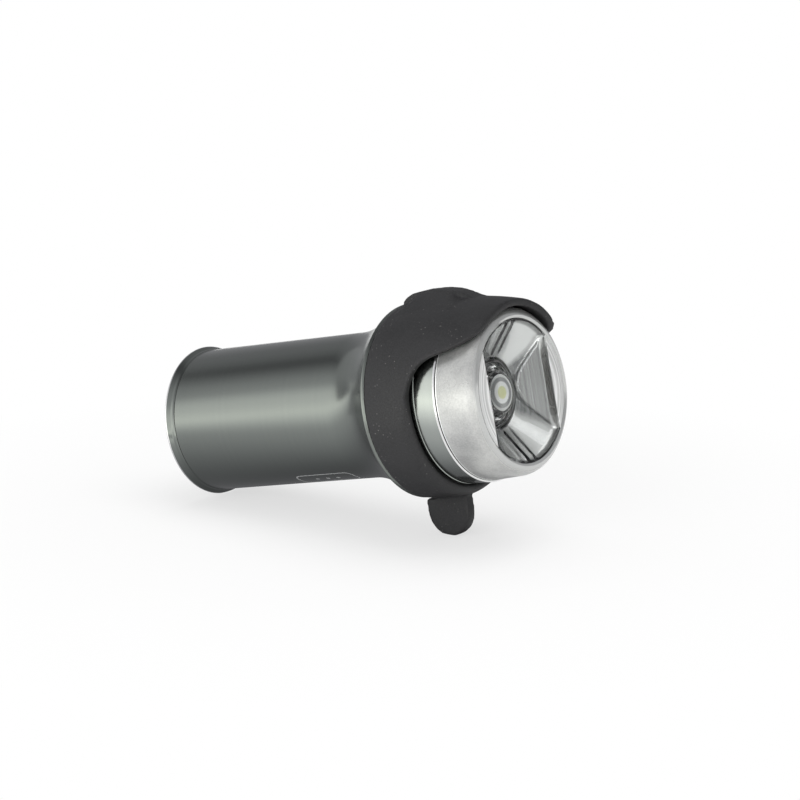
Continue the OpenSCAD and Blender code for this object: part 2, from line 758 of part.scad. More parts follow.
// Lens: side wall with a rounded front, an open bowl in the middle and a spigot with a seal groove
module lens_dome() {
    round_s = lens_front - lens_round;
    floor_s = ring_front + bowl_floor_t;
    groove_s = (spigot_seat + ring_front) / 2;
    groove_half = lens_seal_cord / 2 + seal_room;
    slope = (bowl_r - bowl_floor_r) / (lens_front - floor_s);
    back_r = bowl_floor_r + bowl_wall - slope * bowl_floor_t;
    pocket_top = ring_front + (lens_inner_r - back_r) / slope;
    rib_mouth = bowl_r - slope * bowl_rib_h;
    color([0.88, 0.9, 0.9, 0.45]) lay_down() {
        rotate_extrude() difference() {
            union() {
                polygon([[0, ring_front], [lens_r, ring_front], [lens_front_r, round_s],
                    [lens_front_r - lens_round, lens_front], [0, lens_front]]);
                translate([lens_front_r - lens_round, round_s]) circle(lens_round);
                band_2d(lens_spigot_in_r, lens_spigot_r, spigot_seat + set_fit, ring_front + set_fit);
            }
            polygon([[0, floor_s], [bowl_floor_r, floor_s], [bowl_r, lens_front], [bowl_r, lens_front + cut],
                [0, lens_front + cut]]);
            polygon([[back_r, ring_front], [lens_inner_r, pocket_top], [lens_inner_r, ring_front]]);
            band_2d(back_r, lens_spigot_in_r, ring_front - cut, ring_front);
            band_2d(lens_spigot_r - lens_seal_cord - seal_room, lens_spigot_r + cut, groove_s - groove_half,
                groove_s + groove_half);
        }
        for (turn = [0, 180]) rotate([0, 0, turn]) translate([-bowl_rib_w / 2, 0, 0]) rotate([90, 0, 90])
            linear_extrude(bowl_rib_w) polygon([[bowl_floor_r, floor_s], [bowl_floor_r, floor_s + bowl_rib_h],
                [rib_mouth, lens_front - bowl_rib_h], [bowl_r, lens_front - bowl_rib_h]]);
    }
}

module lens_seal() {
    color([0.08, 0.08, 0.08]) lay_down() rotate_extrude()
        translate([lens_spigot_r - (lens_seal_cord + seal_room) / 2, (spigot_seat + ring_front) / 2])
            circle(d = lens_seal_cord);
}

// Side view of the hood, with its swept lower edge
module hood_2d() {
    half_s = (collar_front + hood_front) / 2 - hood_t;
    root = [collar_front, hood_edge_root];
    half = [half_s, hood_edge_mid];
    front = [hood_front, hood_edge_front];
    level = [edge_level, edge_level_rise];
    rear_edge = curve([root, root + [hood_t, edge_root_rise], half - level, half]);
    front_edge = curve([half, half + level, front - [edge_lean, edge_steep], front]);
    polygon(concat([[collar_foot, rim_r + cut], [collar_foot, hood_edge_root]], rear_edge, front_edge,
        [[hood_front, rim_r + cut]]));
}

// Side view of the lobe on top of the band
module lobe_2d() {
    rear = [rim_front - lobe_rear, over_rim_r];
    crest = [lobe_crest_s, lobe_crest];
    toe = [ring_s + lobe_front, rim_r - hood_t / 2];
    root_s = collar_s + collar_round;
    up_edge = curve([rear, rear + [0, lobe_h], crest - [lobe_ease, 0], crest]);
    down_edge = curve([crest, crest + [lobe_ease, 0], toe + [-lobe_toe, lobe_toe_h], toe]);
    polygon(concat(up_edge, down_edge, [[root_s, toe[1]], [root_s, over_rim_r]]));
}

// Side view of the pull tab: round at its end, and cut off where it passes the flare's rim
module tab_2d() {
    intersection() {
        union() {
            translate([tab_s, tab_round - tab_reach]) circle(tab_round);
            translate([tab_s - tab_round, tab_round - tab_reach]) square([tab_w, tab_reach]);
        }
        translate([tab_s - tab_w, -tab_reach]) square([2 * tab_w, tab_reach - over_rim_r]);
    }
    translate([collar_s + collar_round, -over_rim_r - cut])
        square([tab_s + tab_round - collar_s - collar_round, cut + over_rim_r - collar_step_r]);
}

// Turn a side view, drawn along the axis and up, into a plate across the light
module plate(t) {
    translate([t / 2, 0, 0]) rotate([0, -90, 0]) linear_extrude(t) children();
}

// Swelling across the lobe: a roof that runs out into the collar on both sides
module swell() {
    foot_r = rim_r - lobe_sink;
    foot_y = sqrt(foot_r * foot_r - swell_half * swell_half);
    ridge_y = lobe_crest - lobe_sink;
    translate([0, 0, lobe_crest_s - swell_len / 2]) linear_extrude(swell_len) difference() {
        polygon([[-swell_half, foot_y], [-lobe_t / 2, ridge_y], [lobe_t / 2, ridge_y], [swell_half, foot_y]]);
        circle(collar_step_r);
    }
}

module mount_band() {
    color([0.13, 0.13, 0.14]) lay_down() {
        rotate_extrude() difference() {
            band_2d(collar_bore_r, rim_r, collar_s, collar_front);
            band_2d(0, collar_step_r, collar_foot, collar_front + cut);
            corner_2d(rim_r, collar_front, collar_round);
        }
        intersection() {
            rotate_extrude() intersection() {
                band_2d(neck_r - hood_t, rim_r, collar_foot, hood_front);
                translate([rim_r - hood_curve_r, collar_front]) difference() {
                    circle(hood_curve_r, $fn = 240);
                    circle(hood_curve_r - hood_t, $fn = 240);
                }
            }
            plate(4 * rim_r) hood_2d();
        }
        plate(lobe_t) lobe_2d();
        swell();
        plate(tab_t) tab_2d();
    }
}

barrel();
rear_cap();
cap_seal();
button();
tact_switch();
switch_plunger();
port_cover();
usb_socket();
usb_tongue();
light_pipe();
status_led();
charge_board();
board_parts();
board_screws();
rear_insulator();
front_insulator();
battery_cell();
cell_tabs();
link_flex();
driver_board();
driver_parts();
led_carrier();
led_board();
led_board_screws();
led_wires();
led_emitter();
led_phosphor();
optic_holder();
collimator();
head_ring();
lens_dome();
lens_seal();
mount_band();
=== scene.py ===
# %% [markdown]
# # A compact bicycle headlight
# The solids of the light are already built: they give every place, size and joint. This lesson dresses
# them. Turned metal, clear lens and soft silicone each get a finer mesh than a solid needs, and a finish
# of nodes. The solids are only measured, never moved, so each new piece lands where its solid is.

# %% Load the solids and keep their box
import json
import math

import bmesh
import bpy
import numpy as np
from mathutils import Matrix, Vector


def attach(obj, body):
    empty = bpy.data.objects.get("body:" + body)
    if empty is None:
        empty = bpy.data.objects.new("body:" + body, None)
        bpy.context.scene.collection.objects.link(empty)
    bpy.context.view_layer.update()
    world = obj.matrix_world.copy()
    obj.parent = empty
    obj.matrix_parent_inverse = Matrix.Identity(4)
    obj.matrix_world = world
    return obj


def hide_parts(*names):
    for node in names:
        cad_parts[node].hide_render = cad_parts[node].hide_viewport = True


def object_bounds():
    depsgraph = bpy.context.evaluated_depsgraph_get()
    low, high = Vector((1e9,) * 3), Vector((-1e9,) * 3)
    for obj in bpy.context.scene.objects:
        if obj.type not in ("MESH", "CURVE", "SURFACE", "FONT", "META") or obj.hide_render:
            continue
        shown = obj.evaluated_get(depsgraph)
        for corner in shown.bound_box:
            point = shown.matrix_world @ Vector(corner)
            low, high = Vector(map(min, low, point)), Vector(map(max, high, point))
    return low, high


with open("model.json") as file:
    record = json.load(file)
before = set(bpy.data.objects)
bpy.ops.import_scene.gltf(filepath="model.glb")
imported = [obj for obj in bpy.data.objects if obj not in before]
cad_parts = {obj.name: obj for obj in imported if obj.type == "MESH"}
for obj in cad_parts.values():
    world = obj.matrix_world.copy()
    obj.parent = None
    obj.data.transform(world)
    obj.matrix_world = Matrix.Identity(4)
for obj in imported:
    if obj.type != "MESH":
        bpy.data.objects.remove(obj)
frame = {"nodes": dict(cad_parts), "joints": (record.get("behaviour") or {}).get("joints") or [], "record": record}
cad_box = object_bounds()
scene = bpy.context.scene
solids = frame["nodes"]
MM = 0.001


def in_mm(box):
    """A box in mm, rounded to be printed."""
    return [round(x / MM, 2) for corner in box for x in corner]


print("solids:", len(solids), "box in mm:", in_mm(cad_box))

# %% [markdown]
# The light lies nose-up on its bead and its pull tab, so nothing runs along X. A turned part is easy to
# draw only along its own axis: we read that axis from the joint on which the band turns, and write all
# sizes as (far side, up, forward) in millimetres. One function lays such points down in the row's frame,
# and another measures points that already lie there.

# %% The light's own frame


def rows_of(items, field):
    """One row of three numbers for each item of a mesh."""
    rows = np.empty(len(items) * 3)
    items.foreach_get(field, rows)
    return rows.reshape(-1, 3)


turning = next(joint for joint in frame["joints"] if joint["name"] == "band_turn")
AHEAD = np.array(Vector(turning["axis"]).normalized())
FAR = np.array((0.0, 1.0, 0.0))
UPWARD = np.cross(AHEAD, FAR)
PIVOT = np.array(turning["pos_m"])
REAR = ((rows_of(solids["rear_cap"].data.vertices, "co") - PIVOT) @ AHEAD).min()


def laid(points):
    """Points (far, up, forward) in mm, laid down in the row frame, in metres."""
    far, up, forward = np.asarray(points, float).T[:, :, None] * MM
    return PIVOT + far * FAR + up * UPWARD + (forward + REAR) * AHEAD


def measured(points):
    """How far, up and forward points of the row frame lie, in mm."""
    away = points - PIVOT
    return away @ FAR / MM, away @ UPWARD / MM, (away @ AHEAD - REAR) / MM


stations = measured(rows_of(solids["barrel"].data.vertices, "co"))[2]
print("axis", AHEAD.round(4), "barrel from", stations.min().round(2), "to", stations.max().round(2), "mm")

# %% [markdown]
# The camera comes first. The photograph was taken with a long lens from the front right, a little above
# the light. Its place was fitted to the rims of the turned parts.

# %% Camera
AZIMUTH, ELEVATION = math.radians(36.402), math.radians(12.187)
CAMERA_AT = (0.250095, -0.329778, 0.106851)
LENS_MM, SENSOR_MM = 132.02, 36.0
CLIP_NEAR, CLIP_FAR = 0.01, 20.0


def add(name, data):
    """Put data into the scene as an object."""
    made = bpy.data.objects.new(name, data)
    scene.collection.objects.link(made)
    return made


def look(thing, location, way):
    """Set a camera or lamp down and turn it along a way."""
    thing.location = location
    thing.rotation_mode = "QUATERNION"
    thing.rotation_quaternion = Vector(way).to_track_quat("-Z", "Y")


camera = add("camera", bpy.data.cameras.new("camera"))
camera.data.lens, camera.data.sensor_width = LENS_MM, SENSOR_MM
camera.data.clip_start, camera.data.clip_end = CLIP_NEAR, CLIP_FAR
level = math.cos(ELEVATION)
look(camera, CAMERA_AT, (-math.sin(AZIMUTH) * level, math.cos(AZIMUTH) * level, -math.sin(ELEVATION)))
scene.camera = camera
scene.view_settings.view_transform = "Standard"
print("camera at", [round(x, 4) for x in camera.location], "lens", camera.data.lens)

# %% [markdown]
# Almost everything here is turned on a lathe: barrel, cap, ring, lens and optic. We could use the Screw
# modifier, but then we'd have no say in the UV map. So we draw an outline of (radius, station) points and
# spin it with a small lathe of our own. The outline comes first. Its corners get fillets, since a real
# edge always catches a thin line of light.

# %% Outlines with rounded corners


def unit(way):
    """A way of length 1."""
    return way / np.linalg.norm(way)


def rounded(corners, steps=5):
    """Outline points from corners of (radius, station, fillet)."""
    points = []
    for i, (r, s, fillet) in enumerate(corners):
        corner = np.array((r, s))
        if fillet == 0:
            points.append(corner)
            continue
        to_last = unit(np.array(corners[i - 1][:2]) - corner)
        to_next = unit(np.array(corners[(i + 1) % len(corners)][:2]) - corner)
        half = math.acos(np.clip(to_last @ to_next, -1, 1)) / 2
        middle = corner + unit(to_last + to_next) * fillet / math.sin(half)
        first = corner + to_last * fillet / math.tan(half) - middle
        last = corner + to_next * fillet / math.tan(half) - middle
        swing = math.pi - 2 * half
        for t in np.linspace(0, 1, steps + 1):
            arm = (math.sin((1 - t) * swing) * first + math.sin(t * swing) * last) / math.sin(swing)
            points.append(middle + arm)
    return np.array(points)


print("points of a rounded square:", len(rounded([(1, 0, 0.1), (2, 0, 0.1), (2, 1, 0.1), (1, 1, 0.1)])))

# %% [markdown]
# The lathe writes a UV map that unrolls the skin: u is the share of the turn and v the way along the
# outline. Cutter marks, engraving and brushed gloss can follow it. Every mesh then gets its faces turned
# outwards, and a last helper puts the finished piece on the body that it moves with.

# %% Lathe
TURNS, SEAM, UV_MM = 256, 0.75, 100.0
SHARP = math.radians(38.0)


def worked(mesh, job):
    """Let a job change a mesh through bmesh."""
    work = bmesh.new()
    work.from_mesh(mesh)
    job(work)
    work.to_mesh(mesh)
    work.free()
    return mesh


def tidy(mesh):
    """Turn all faces outwards and shade the mesh smooth, except over sharp edges."""
    worked(mesh, lambda work: bmesh.ops.recalc_face_normals(work, faces=work.faces))
    mesh.shade_smooth()
    mesh.set_sharp_from_angle(angle=SHARP)
    return mesh


def mesh_of(name, points, faces):
    """A mesh from points in metres and faces."""
    mesh = bpy.data.meshes.new(name)
    mesh.from_pydata(np.asarray(points).tolist(), [], faces)
    return mesh


def lathe(name, outline, turns=TURNS, press=None):
    """Spin a closed outline into a mesh. press(radius, station, angle) may push the skin in or out."""
    outline = np.asarray(outline, float)
    count = len(outline)
    sides = np.linalg.norm(np.roll(outline, -1, 0) - outline, axis=1)
    way = np.concatenate([[0], np.cumsum(sides)]) / UV_MM
    angle = 2 * math.pi * (np.arange(turns) / turns + SEAM)
    points, index = [], np.zeros((count, turns), int)
    for i, (r, s) in enumerate(outline):
        if r < 1e-6:
            index[i] = len(points)
            points.append((0.0, 0.0, s))
            continue
        radius = np.full(turns, r) if press is None else press(r, s, angle)
        index[i] = len(points) + np.arange(turns)
        points.extend(zip(-radius * np.sin(angle), radius * np.cos(angle), np.full(turns, s)))
    faces, uvs = [], []
    for i in range(count):
        j = (i + 1) % count
        for k in range(turns):
            n = (k + 1) % turns
            ring = [(index[i, k], k, way[i]), (index[i, n], k + 1, way[i]),
                    (index[j, n], k + 1, way[i + 1]), (index[j, k], k, way[i + 1])]
            face = [c for m, c in enumerate(ring) if c[0] != ring[m - 1][0]]
            if len(face) > 2:
                faces.append([c[0] for c in face])
                uvs.extend((c[1] / turns, c[2]) for c in face)
    mesh = mesh_of(name, laid(points), faces)
    mesh.uv_layers.new(name="unrolled").data.foreach_set("uv", np.array(uvs).ravel())
    return tidy(mesh)


print("steps in a turn:", TURNS)

# %% Pieces on their bodies


def piece(name, mesh, material, body, slot, *stands_for):
    """Put a finished mesh into the scene on its body."""
    made = add(name, mesh)
    mesh.materials.clear()
    mesh.materials.append(material)
    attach(made, body)
    if stands_for:
        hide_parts(*stands_for)
    print(name, "faces:", len(mesh.polygons), "on", body, "for", stands_for)


print("solids that pieces may stand for:", len(solids))

# %% [markdown]
# Every finish below is a Principled shader fed by a few nodes. A handful of helpers keeps that readable:
# one adds a node and feeds its inputs, the others are the sums, ranges, mixes and noises that come back
# everywhere.

# %% Node helpers


def feed(node, inputs):
    """Set a node's inputs, as numbers or as links from other nodes."""
    for key, value in inputs.items():
        if isinstance(value, bpy.types.NodeSocket):
            node.id_data.links.new(value, node.inputs[key])
        else:
            node.inputs[key].default_value = value


def wire(tree, kind, inputs=None, **settings):
    """Add a node with its settings and its inputs."""
    node = tree.nodes.new(kind)
    for key, value in settings.items():
        setattr(node, key, value)
    feed(node, inputs or {})
    return node


def maths(tree, operation, *values):
    """One step of arithmetic."""
    return wire(tree, "ShaderNodeMath", dict(enumerate(values)), operation=operation).outputs[0]


def length(tree, *legs):
    """Length of a line from its two legs."""
    squares = [maths(tree, "POWER", leg, 2.0) for leg in legs]
    return maths(tree, "SQRT", maths(tree, "ADD", *squares))


def spread(tree, value, low, high, to_low=0.0, to_high=1.0):
    """Map a value from one range to another, held at both ends."""
    ends = {"From Min": low, "From Max": high, "To Min": to_low, "To Max": to_high}
    return wire(tree, "ShaderNodeMapRange", {"Value": value, **ends}).outputs["Result"]


def between(tree, share, first, second):
    """Colour between two colours."""
    return wire(tree, "ShaderNodeMix", {0: share, 6: first, 7: second}, data_type="RGBA").outputs[2]


print("helpers for sums, ranges and mixes are ready")

# %% Noise and places


def noise(tree, along, scale, detail):
    """Noise over a place, or along a line where only a number is given."""
    way, dimensions = ("W", "1D") if along.type == "VALUE" else ("Vector", "3D")
    inputs = {way: along, "Scale": scale, "Detail": detail}
    return wire(tree, "ShaderNodeTexNoise", inputs, noise_dimensions=dimensions).outputs[0]


def unrolled(tree):
    """The lathe's UV map: share of the turn, and mm along the outline."""
    uv = wire(tree, "ShaderNodeUVMap", uv_map="unrolled")
    parts = wire(tree, "ShaderNodeSeparateXYZ", {0: uv.outputs[0]}).outputs
    return parts["X"], maths(tree, "MULTIPLY", parts["Y"], UV_MM)


def place(tree):
    """Where a point lies, in metres."""
    return wire(tree, "ShaderNodeTexCoord").outputs["Object"]


print("helpers for noise, the unrolled map and places are ready")

# %% [markdown]
# Three effects come back in many finishes, so they are node groups: fine cutter marks that run round a
# turned part, an even grain for moulded parts, and dust. A group only gives out values that change over
# the surface; what is the same all over stays on the shader.

# %% Shared effects
FLOAT, VECTOR = "NodeSocketFloat", "NodeSocketVector"
TONES = (0.3, 0.7)
DUST_PATCH, DUST_FROM, DUST_TO = 260.0, 0.46, 0.62


def effect(name, inputs, outputs):
    """An empty shader group; an input with no number takes a vector."""
    group = bpy.data.node_groups.new(name, "ShaderNodeTree")
    for label, value in inputs.items():
        kind = VECTOR if value is None else FLOAT
        socket = group.interface.new_socket(label, in_out="INPUT", socket_type=kind)
        if value is not None:
            socket.default_value = value
    for label in outputs:
        group.interface.new_socket(label, in_out="OUTPUT", socket_type=FLOAT)
    return group, group.nodes.new("NodeGroupInput").outputs, group.nodes.new("NodeGroupOutput")


def use(tree, group, **inputs):
    """Place an effect in a tree."""
    return wire(tree, "ShaderNodeGroup", inputs, node_tree=group).outputs


def moulded(tree, grain, cloud):
    """Height and tone of a moulded surface."""
    return use(tree, mould_grain, Vector=place(tree), Grain=grain, Cloud=cloud)


cutter_marks, given, out = effect("cutter_marks", {"Along": 0.0, "Fine": 12.0, "Broad": 0.6},
                                  ["Height", "Tone"])
feed(out, {"Height": noise(cutter_marks, given["Along"], given["Fine"], 3.0),
           "Tone": noise(cutter_marks, given["Along"], given["Broad"], 2.0)})

mould_grain, given, out = effect("mould_grain", {"Vector": None, "Grain": 4000.0, "Cloud": 250.0},
                                 ["Height", "Tone"])
feed(out, {"Height": noise(mould_grain, given["Vector"], given["Grain"], 4.0),
           "Tone": noise(mould_grain, given["Vector"], given["Cloud"], 3.0)})

dust, given, out = effect("dust", {"Vector": None, "Density": 1200.0, "Size": 0.12}, ["Mask"])
cells = wire(dust, "ShaderNodeTexVoronoi", {"Vector": given["Vector"], "Scale": given["Density"]})
near = spread(dust, cells.outputs["Distance"], 0.0, given["Size"], 1.0, 0.0)
some = spread(dust, noise(dust, given["Vector"], DUST_PATCH, 2.0), DUST_FROM, DUST_TO)
feed(out, {"Mask": maths(dust, "MULTIPLY", near, some)})
print("effects:", [group.name for group in bpy.data.node_groups])

# %% Finishes


def finish(name, **plain):
    """A material, its tree and its Principled shader, with plain values on the shader's own sockets."""
    material = bpy.data.materials.new(name)
    material.use_nodes = True
    shader = material.node_tree.nodes["Principled BSDF"]
    feed(shader, {socket.replace("_", " "): value for socket, value in plain.items()})
    return material, material.node_tree, shader


def bump(shader, height, depth, strength=1.0):
    """Raise the surface by a height map; depth is in metres."""
    inputs = {"Height": height, "Distance": depth, "Strength": strength}
    feed(shader, {"Normal": wire(shader.id_data, "ShaderNodeBump", inputs).outputs["Normal"]})


print("materials so far:", len(bpy.data.materials))

# %% [markdown]
# The barrel is a turned aluminium tube, anodised gunmetal. From behind it runs straight, flares out in a
# hollow curve to a sharp bright rim, and steps down to the neck that the rubber sits on. Its finish shows
# faint rings from the cutter, and a stretched gloss, because the marks all run one way: that is what
# Anisotropic is for. Near the bottom a small frame with three dots is engraved as a plain charge scale.

# %% Engraving on the barrel
GUNMETAL = (0.198, 0.214, 0.201, 1), (0.203, 0.219, 0.205, 1)
ENGRAVED, ENGRAVED_ROUGH = (0.9, 0.92, 0.9, 1), 0.4
# Pale tones of the painted highlights on metal edges, and the half width of the one on the cap's bead.
HIGHLIGHT_PALE, HALF_HIGHLIGHT_PALE, CROWN_HIGHLIGHT_HALF = 0.8, 0.5, 0.14
BARREL_R, BEAD_W, HEEL = 10.5, 1.92, 0.16
MARK_TURN, MARK_S = 155.0, 24.3 - BEAD_W
MARK_HALF, MARK_CORNER, MARK_LINE = (1.65, 5.1), 1.1, 0.14
DOT_STEP, DOT_R = 1.9, 0.34
MARKS_FINE, MARKS_BROAD, ROUGH_DRIFT = 16.0, 1.6, 0.004


def engraving(tree, turn, mm):
    """Mask of a rounded frame with three dots, on the unrolled barrel."""
    share = (MARK_TURN / 360 - SEAM) % 1.0
    across = maths(tree, "MULTIPLY", maths(tree, "SUBTRACT", turn, share), 2 * math.pi * BARREL_R)
    forward = maths(tree, "SUBTRACT", mm, MARK_S)
    over = [maths(tree, "SUBTRACT", maths(tree, "ABSOLUTE", way), half - MARK_CORNER)
            for way, half in zip((across, forward), MARK_HALF)]
    outside = length(tree, *[maths(tree, "MAXIMUM", part, 0.0) for part in over])
    inside = maths(tree, "MINIMUM", maths(tree, "MAXIMUM", *over), 0.0)
    edge = maths(tree, "SUBTRACT", maths(tree, "ADD", outside, inside), MARK_CORNER)
    line = spread(tree, maths(tree, "ABSOLUTE", edge), MARK_LINE * 0.6, MARK_LINE, 1.0, 0.0)
    step = maths(tree, "WRAP", forward, DOT_STEP / 2, -DOT_STEP / 2)
    dot = spread(tree, length(tree, step, across), DOT_R * 0.8, DOT_R, 1.0, 0.0)
    middle = maths(tree, "LESS_THAN", maths(tree, "ABSOLUTE", forward), 1.5 * DOT_STEP)
    return maths(tree, "MAXIMUM", line, maths(tree, "MULTIPLY", dot, middle))


print("engraved frame in mm:", [2 * half for half in MARK_HALF])

# %% Turned metal


def way_at(outline, radius, station):
    """Millimetres along an outline to its point nearest to (radius, station)."""
    steps = np.linalg.norm(np.diff(outline, axis=0), axis=1)
    return steps[:np.argmin(np.hypot(outline[:, 0] - radius, outline[:, 1] - station))].sum()


def turned(name, tones, rough, depth, bright, marked=False, **plain):
    """Metal from the lathe, with cutter marks round it. bright is (from mm, to mm, how pale) of a band painted
    pale as a painted highlight.
    """
    material, tree, shader = finish(name, Metallic=1.0, Anisotropic_Rotation=0.25, **plain)
    turn, mm = unrolled(tree)
    marks = use(tree, cutter_marks, Along=mm, Fine=MARKS_FINE, Broad=MARKS_BROAD)
    colour = between(tree, spread(tree, marks["Tone"], *TONES), *tones)
    roughness = spread(tree, marks["Tone"], *TONES, rough - ROUGH_DRIFT, rough + ROUGH_DRIFT)
    if marked:
        mask = engraving(tree, turn, mm)
        colour = between(tree, mask, colour, ENGRAVED)
        roughness = maths(tree, "ADD", roughness, maths(tree, "MULTIPLY", mask, ENGRAVED_ROUGH))
    # The band between first and last is painted pale: a painted highlight along an edge.
    first, last, highlight_tone = bright
    past = maths(tree, "GREATER_THAN", mm, first)
    highlight_band = maths(tree, "MULTIPLY", past, maths(tree, "LESS_THAN", mm, last))
    colour = between(tree, highlight_band, colour, (highlight_tone, highlight_tone, highlight_tone, 1))
    lie = wire(tree, "ShaderNodeTangent", direction_type="UV_MAP", uv_map="unrolled")
    feed(shader, {"Base Color": colour, "Roughness": roughness, "Tangent": lie.outputs[0]})
    bump(shader, marks["Height"], depth)
    return material


# The barrel's heel at the joint gets a half-pale band: a painted highlight along that edge.
gunmetal = turned("gunmetal", GUNMETAL, rough=0.205, depth=1e-7, bright=(0.0, HEEL, HALF_HIGHLIGHT_PALE), marked=True,
                  Anisotropic=0.2)
print("finish:", gunmetal.name, "nodes:", len(gunmetal.node_tree.nodes))

# %% Barrel
FLARE_END, RIM_FRONT, RING_S = 39.9, 40.3, 47.1
FLARE_R, RIM_R, NECK_R, BORE_R, REAR_BORE_R, HEAD_BORE_R = 14.0, 13.85, 11.4, 8.6, 9.3, 10.0
BOARD_FRONT, CARRIER_S = 9.4, 41.9
RIM_CHAMFER = 0.22
rise = RIM_R - BARREL_R
flare_len = math.sqrt(FLARE_R ** 2 - (FLARE_R - rise) ** 2)
sweep = math.asin(flare_len / FLARE_R)
flare = [(BARREL_R + FLARE_R * (1 - math.cos(a)), FLARE_END - flare_len + FLARE_R * math.sin(a), 0)
         for a in np.linspace(0, sweep, 32)[:-1]]
outline = rounded(
    [(BARREL_R - HEEL, BEAD_W, 0.03), (BARREL_R, BEAD_W + HEEL, 0.12)] + flare
    + [(RIM_R, FLARE_END, 0.05), (RIM_R, RIM_FRONT - RIM_CHAMFER, 0.04),
       (RIM_R - RIM_CHAMFER, RIM_FRONT, 0.04), (NECK_R, RIM_FRONT, 0.1), (NECK_R, RING_S, 0.15),
       (HEAD_BORE_R, RING_S, 0.1), (HEAD_BORE_R, CARRIER_S, 0.1), (BORE_R, CARRIER_S, 0.1),
       (BORE_R, BOARD_FRONT, 0.1), (REAR_BORE_R, BOARD_FRONT, 0.1), (REAR_BORE_R, BEAD_W, 0.1)])
piece("barrel_skin", lathe("barrel_skin", outline), gunmetal, "light", "anodised", "barrel")

# %% [markdown]
# The polished ring between the rubber and the lens is the same alloy with a finer cut, so it is brighter
# and sharper. Its front chamfer is the thin white line beside the lens: a painted highlight, painted pale on the
# chamfer.

# %% Head ring
POLISHED = (0.352, 0.376, 0.354, 1), (0.363, 0.387, 0.365, 1)
RING_R, RING_FRONT, RING_BORE_R, WAIST_R, SPIGOT_SEAT = 12.35, 51.4, 10.6, 8.6, 48.5
CARRIER_FRONT, SLEEVE_R = 44.5, 9.95
RING_CHAMFER, RING_FRONT_CHAMFER, CHAMFER_ROOM = 0.35, 0.16, 0.03
GROOVE_S, GROOVE_HALF, GROOVE_DEPTH = 47.95, 0.06, 0.1
outline = rounded(
    [(RING_R, RING_S + RING_CHAMFER, 0.06), (RING_R, GROOVE_S - 2 * GROOVE_HALF, 0.03),
     (RING_R - GROOVE_DEPTH, GROOVE_S - GROOVE_HALF, 0.03),
     (RING_R - GROOVE_DEPTH, GROOVE_S + GROOVE_HALF, 0.03),
     (RING_R, GROOVE_S + 2 * GROOVE_HALF, 0.03), (RING_R, RING_FRONT - RING_FRONT_CHAMFER, 0.04),
     (RING_R - RING_FRONT_CHAMFER, RING_FRONT, 0.04),
     (RING_BORE_R, RING_FRONT, 0.08), (RING_BORE_R, SPIGOT_SEAT, 0.08), (WAIST_R, SPIGOT_SEAT, 0.08),
     (WAIST_R, CARRIER_FRONT, 0.08), (SLEEVE_R, CARRIER_FRONT, 0.08), (SLEEVE_R, RING_S, 0.08),
     (RING_R - RING_CHAMFER, RING_S, 0.06)])
# The front chamfer is painted pale: a painted highlight, the thin white line beside the lens.
chamfer = (way_at(outline, RING_R, RING_FRONT - RING_FRONT_CHAMFER) - CHAMFER_ROOM,
           way_at(outline, RING_R - RING_FRONT_CHAMFER, RING_FRONT) + CHAMFER_ROOM, HIGHLIGHT_PALE)
polished = turned("polished", POLISHED, rough=0.16, depth=1.5e-7, bright=chamfer, Anisotropic=0.5)
piece("ring_skin", lathe("ring_skin", outline), polished, "light", "polished", "head_ring")

# %% [markdown]
# The lens is one clear moulding: a side wall, a rounded shoulder, a clear rim and an open bowl, with an
# air pocket between side wall and bowl. The bowl isn't round: two flat walls press in from left and right,
# and a ribbed channel runs down from the rim at top and bottom. The lathe's press does that, point by
# point, and does it to both faces of the bowl, so that its wall keeps one thickness and bends the view
# only a little.

# %% The bowl's walls
LENS_FRONT, LEDGE, BOWL_R, BOWL_FLOOR_R, BOWL_FLOOR_S, BOWL_ROWS = 57.8, 0.4, 10.35, 4.7, 53.1, 15
BOWL_DEPTH = LENS_FRONT - BOWL_FLOOR_S
BOWL_SLOPE = (BOWL_R - BOWL_FLOOR_R) / BOWL_DEPTH
LEDGE_S = LENS_FRONT - LEDGE
WALL_R, WALL_S = 0.36, 1.2
LINING_FRONT, LINING_REAR = (WALL_R + 0.04, WALL_S + 0.12), (WALL_R + 0.14, WALL_S + 0.45)
BOWL_FACES = ((0.0, 0.0), (WALL_R, WALL_S), LINING_FRONT, LINING_REAR)
FLAT_MOUTH, FLAT_FLOOR, FLAT_BLEND = 7.6, 4.7, 0.2
CHANNEL_HALF, CHANNEL_DEPTH, CHANNEL_EDGE, CHANNEL_TO, RIB_HALF = 1.2, 0.4, 0.2, 0.93, 0.34


def bowl_press(radius, station, angle):
    """Flat side walls on both faces of the bowl, and a ribbed channel at top and bottom inside it."""
    for wider, behind in BOWL_FACES:
        cone, down = radius - wider, LENS_FRONT - station - behind
        depth = down / BOWL_DEPTH
        if down < LEDGE - 0.01 or abs(BOWL_R - cone - depth * (BOWL_R - BOWL_FLOOR_R)) > 0.05:
            continue
        flat = (FLAT_MOUTH + (FLAT_FLOOR - FLAT_MOUTH) * depth) / np.maximum(np.abs(np.sin(angle)), 0.05)
        share = np.clip(0.5 + (flat - cone) / (2 * FLAT_BLEND), 0, 1)
        pressed = flat * (1 - share) + cone * share - FLAT_BLEND * share * (1 - share)
        off = np.abs(radius * np.sin(angle))
        sides = [np.clip(room / CHANNEL_EDGE, 0, 1) for room in (CHANNEL_HALF - off, off - RIB_HALF)]
        inside = wider == 0 and depth < CHANNEL_TO
        return pressed + wider + CHANNEL_DEPTH * (sides[0] * sides[1]) * inside
    return np.full(len(angle), radius)


def bowl_wall(first, last, wider, behind):
    """Points down one face of the bowl, from the first station to the last."""
    return [(BOWL_R - (LENS_FRONT - s) * BOWL_SLOPE + wider, s - behind, 0)
            for s in np.linspace(first, last, BOWL_ROWS)]


print("bowl wall leans", round(math.degrees(math.atan(BOWL_SLOPE)), 1), "degrees")

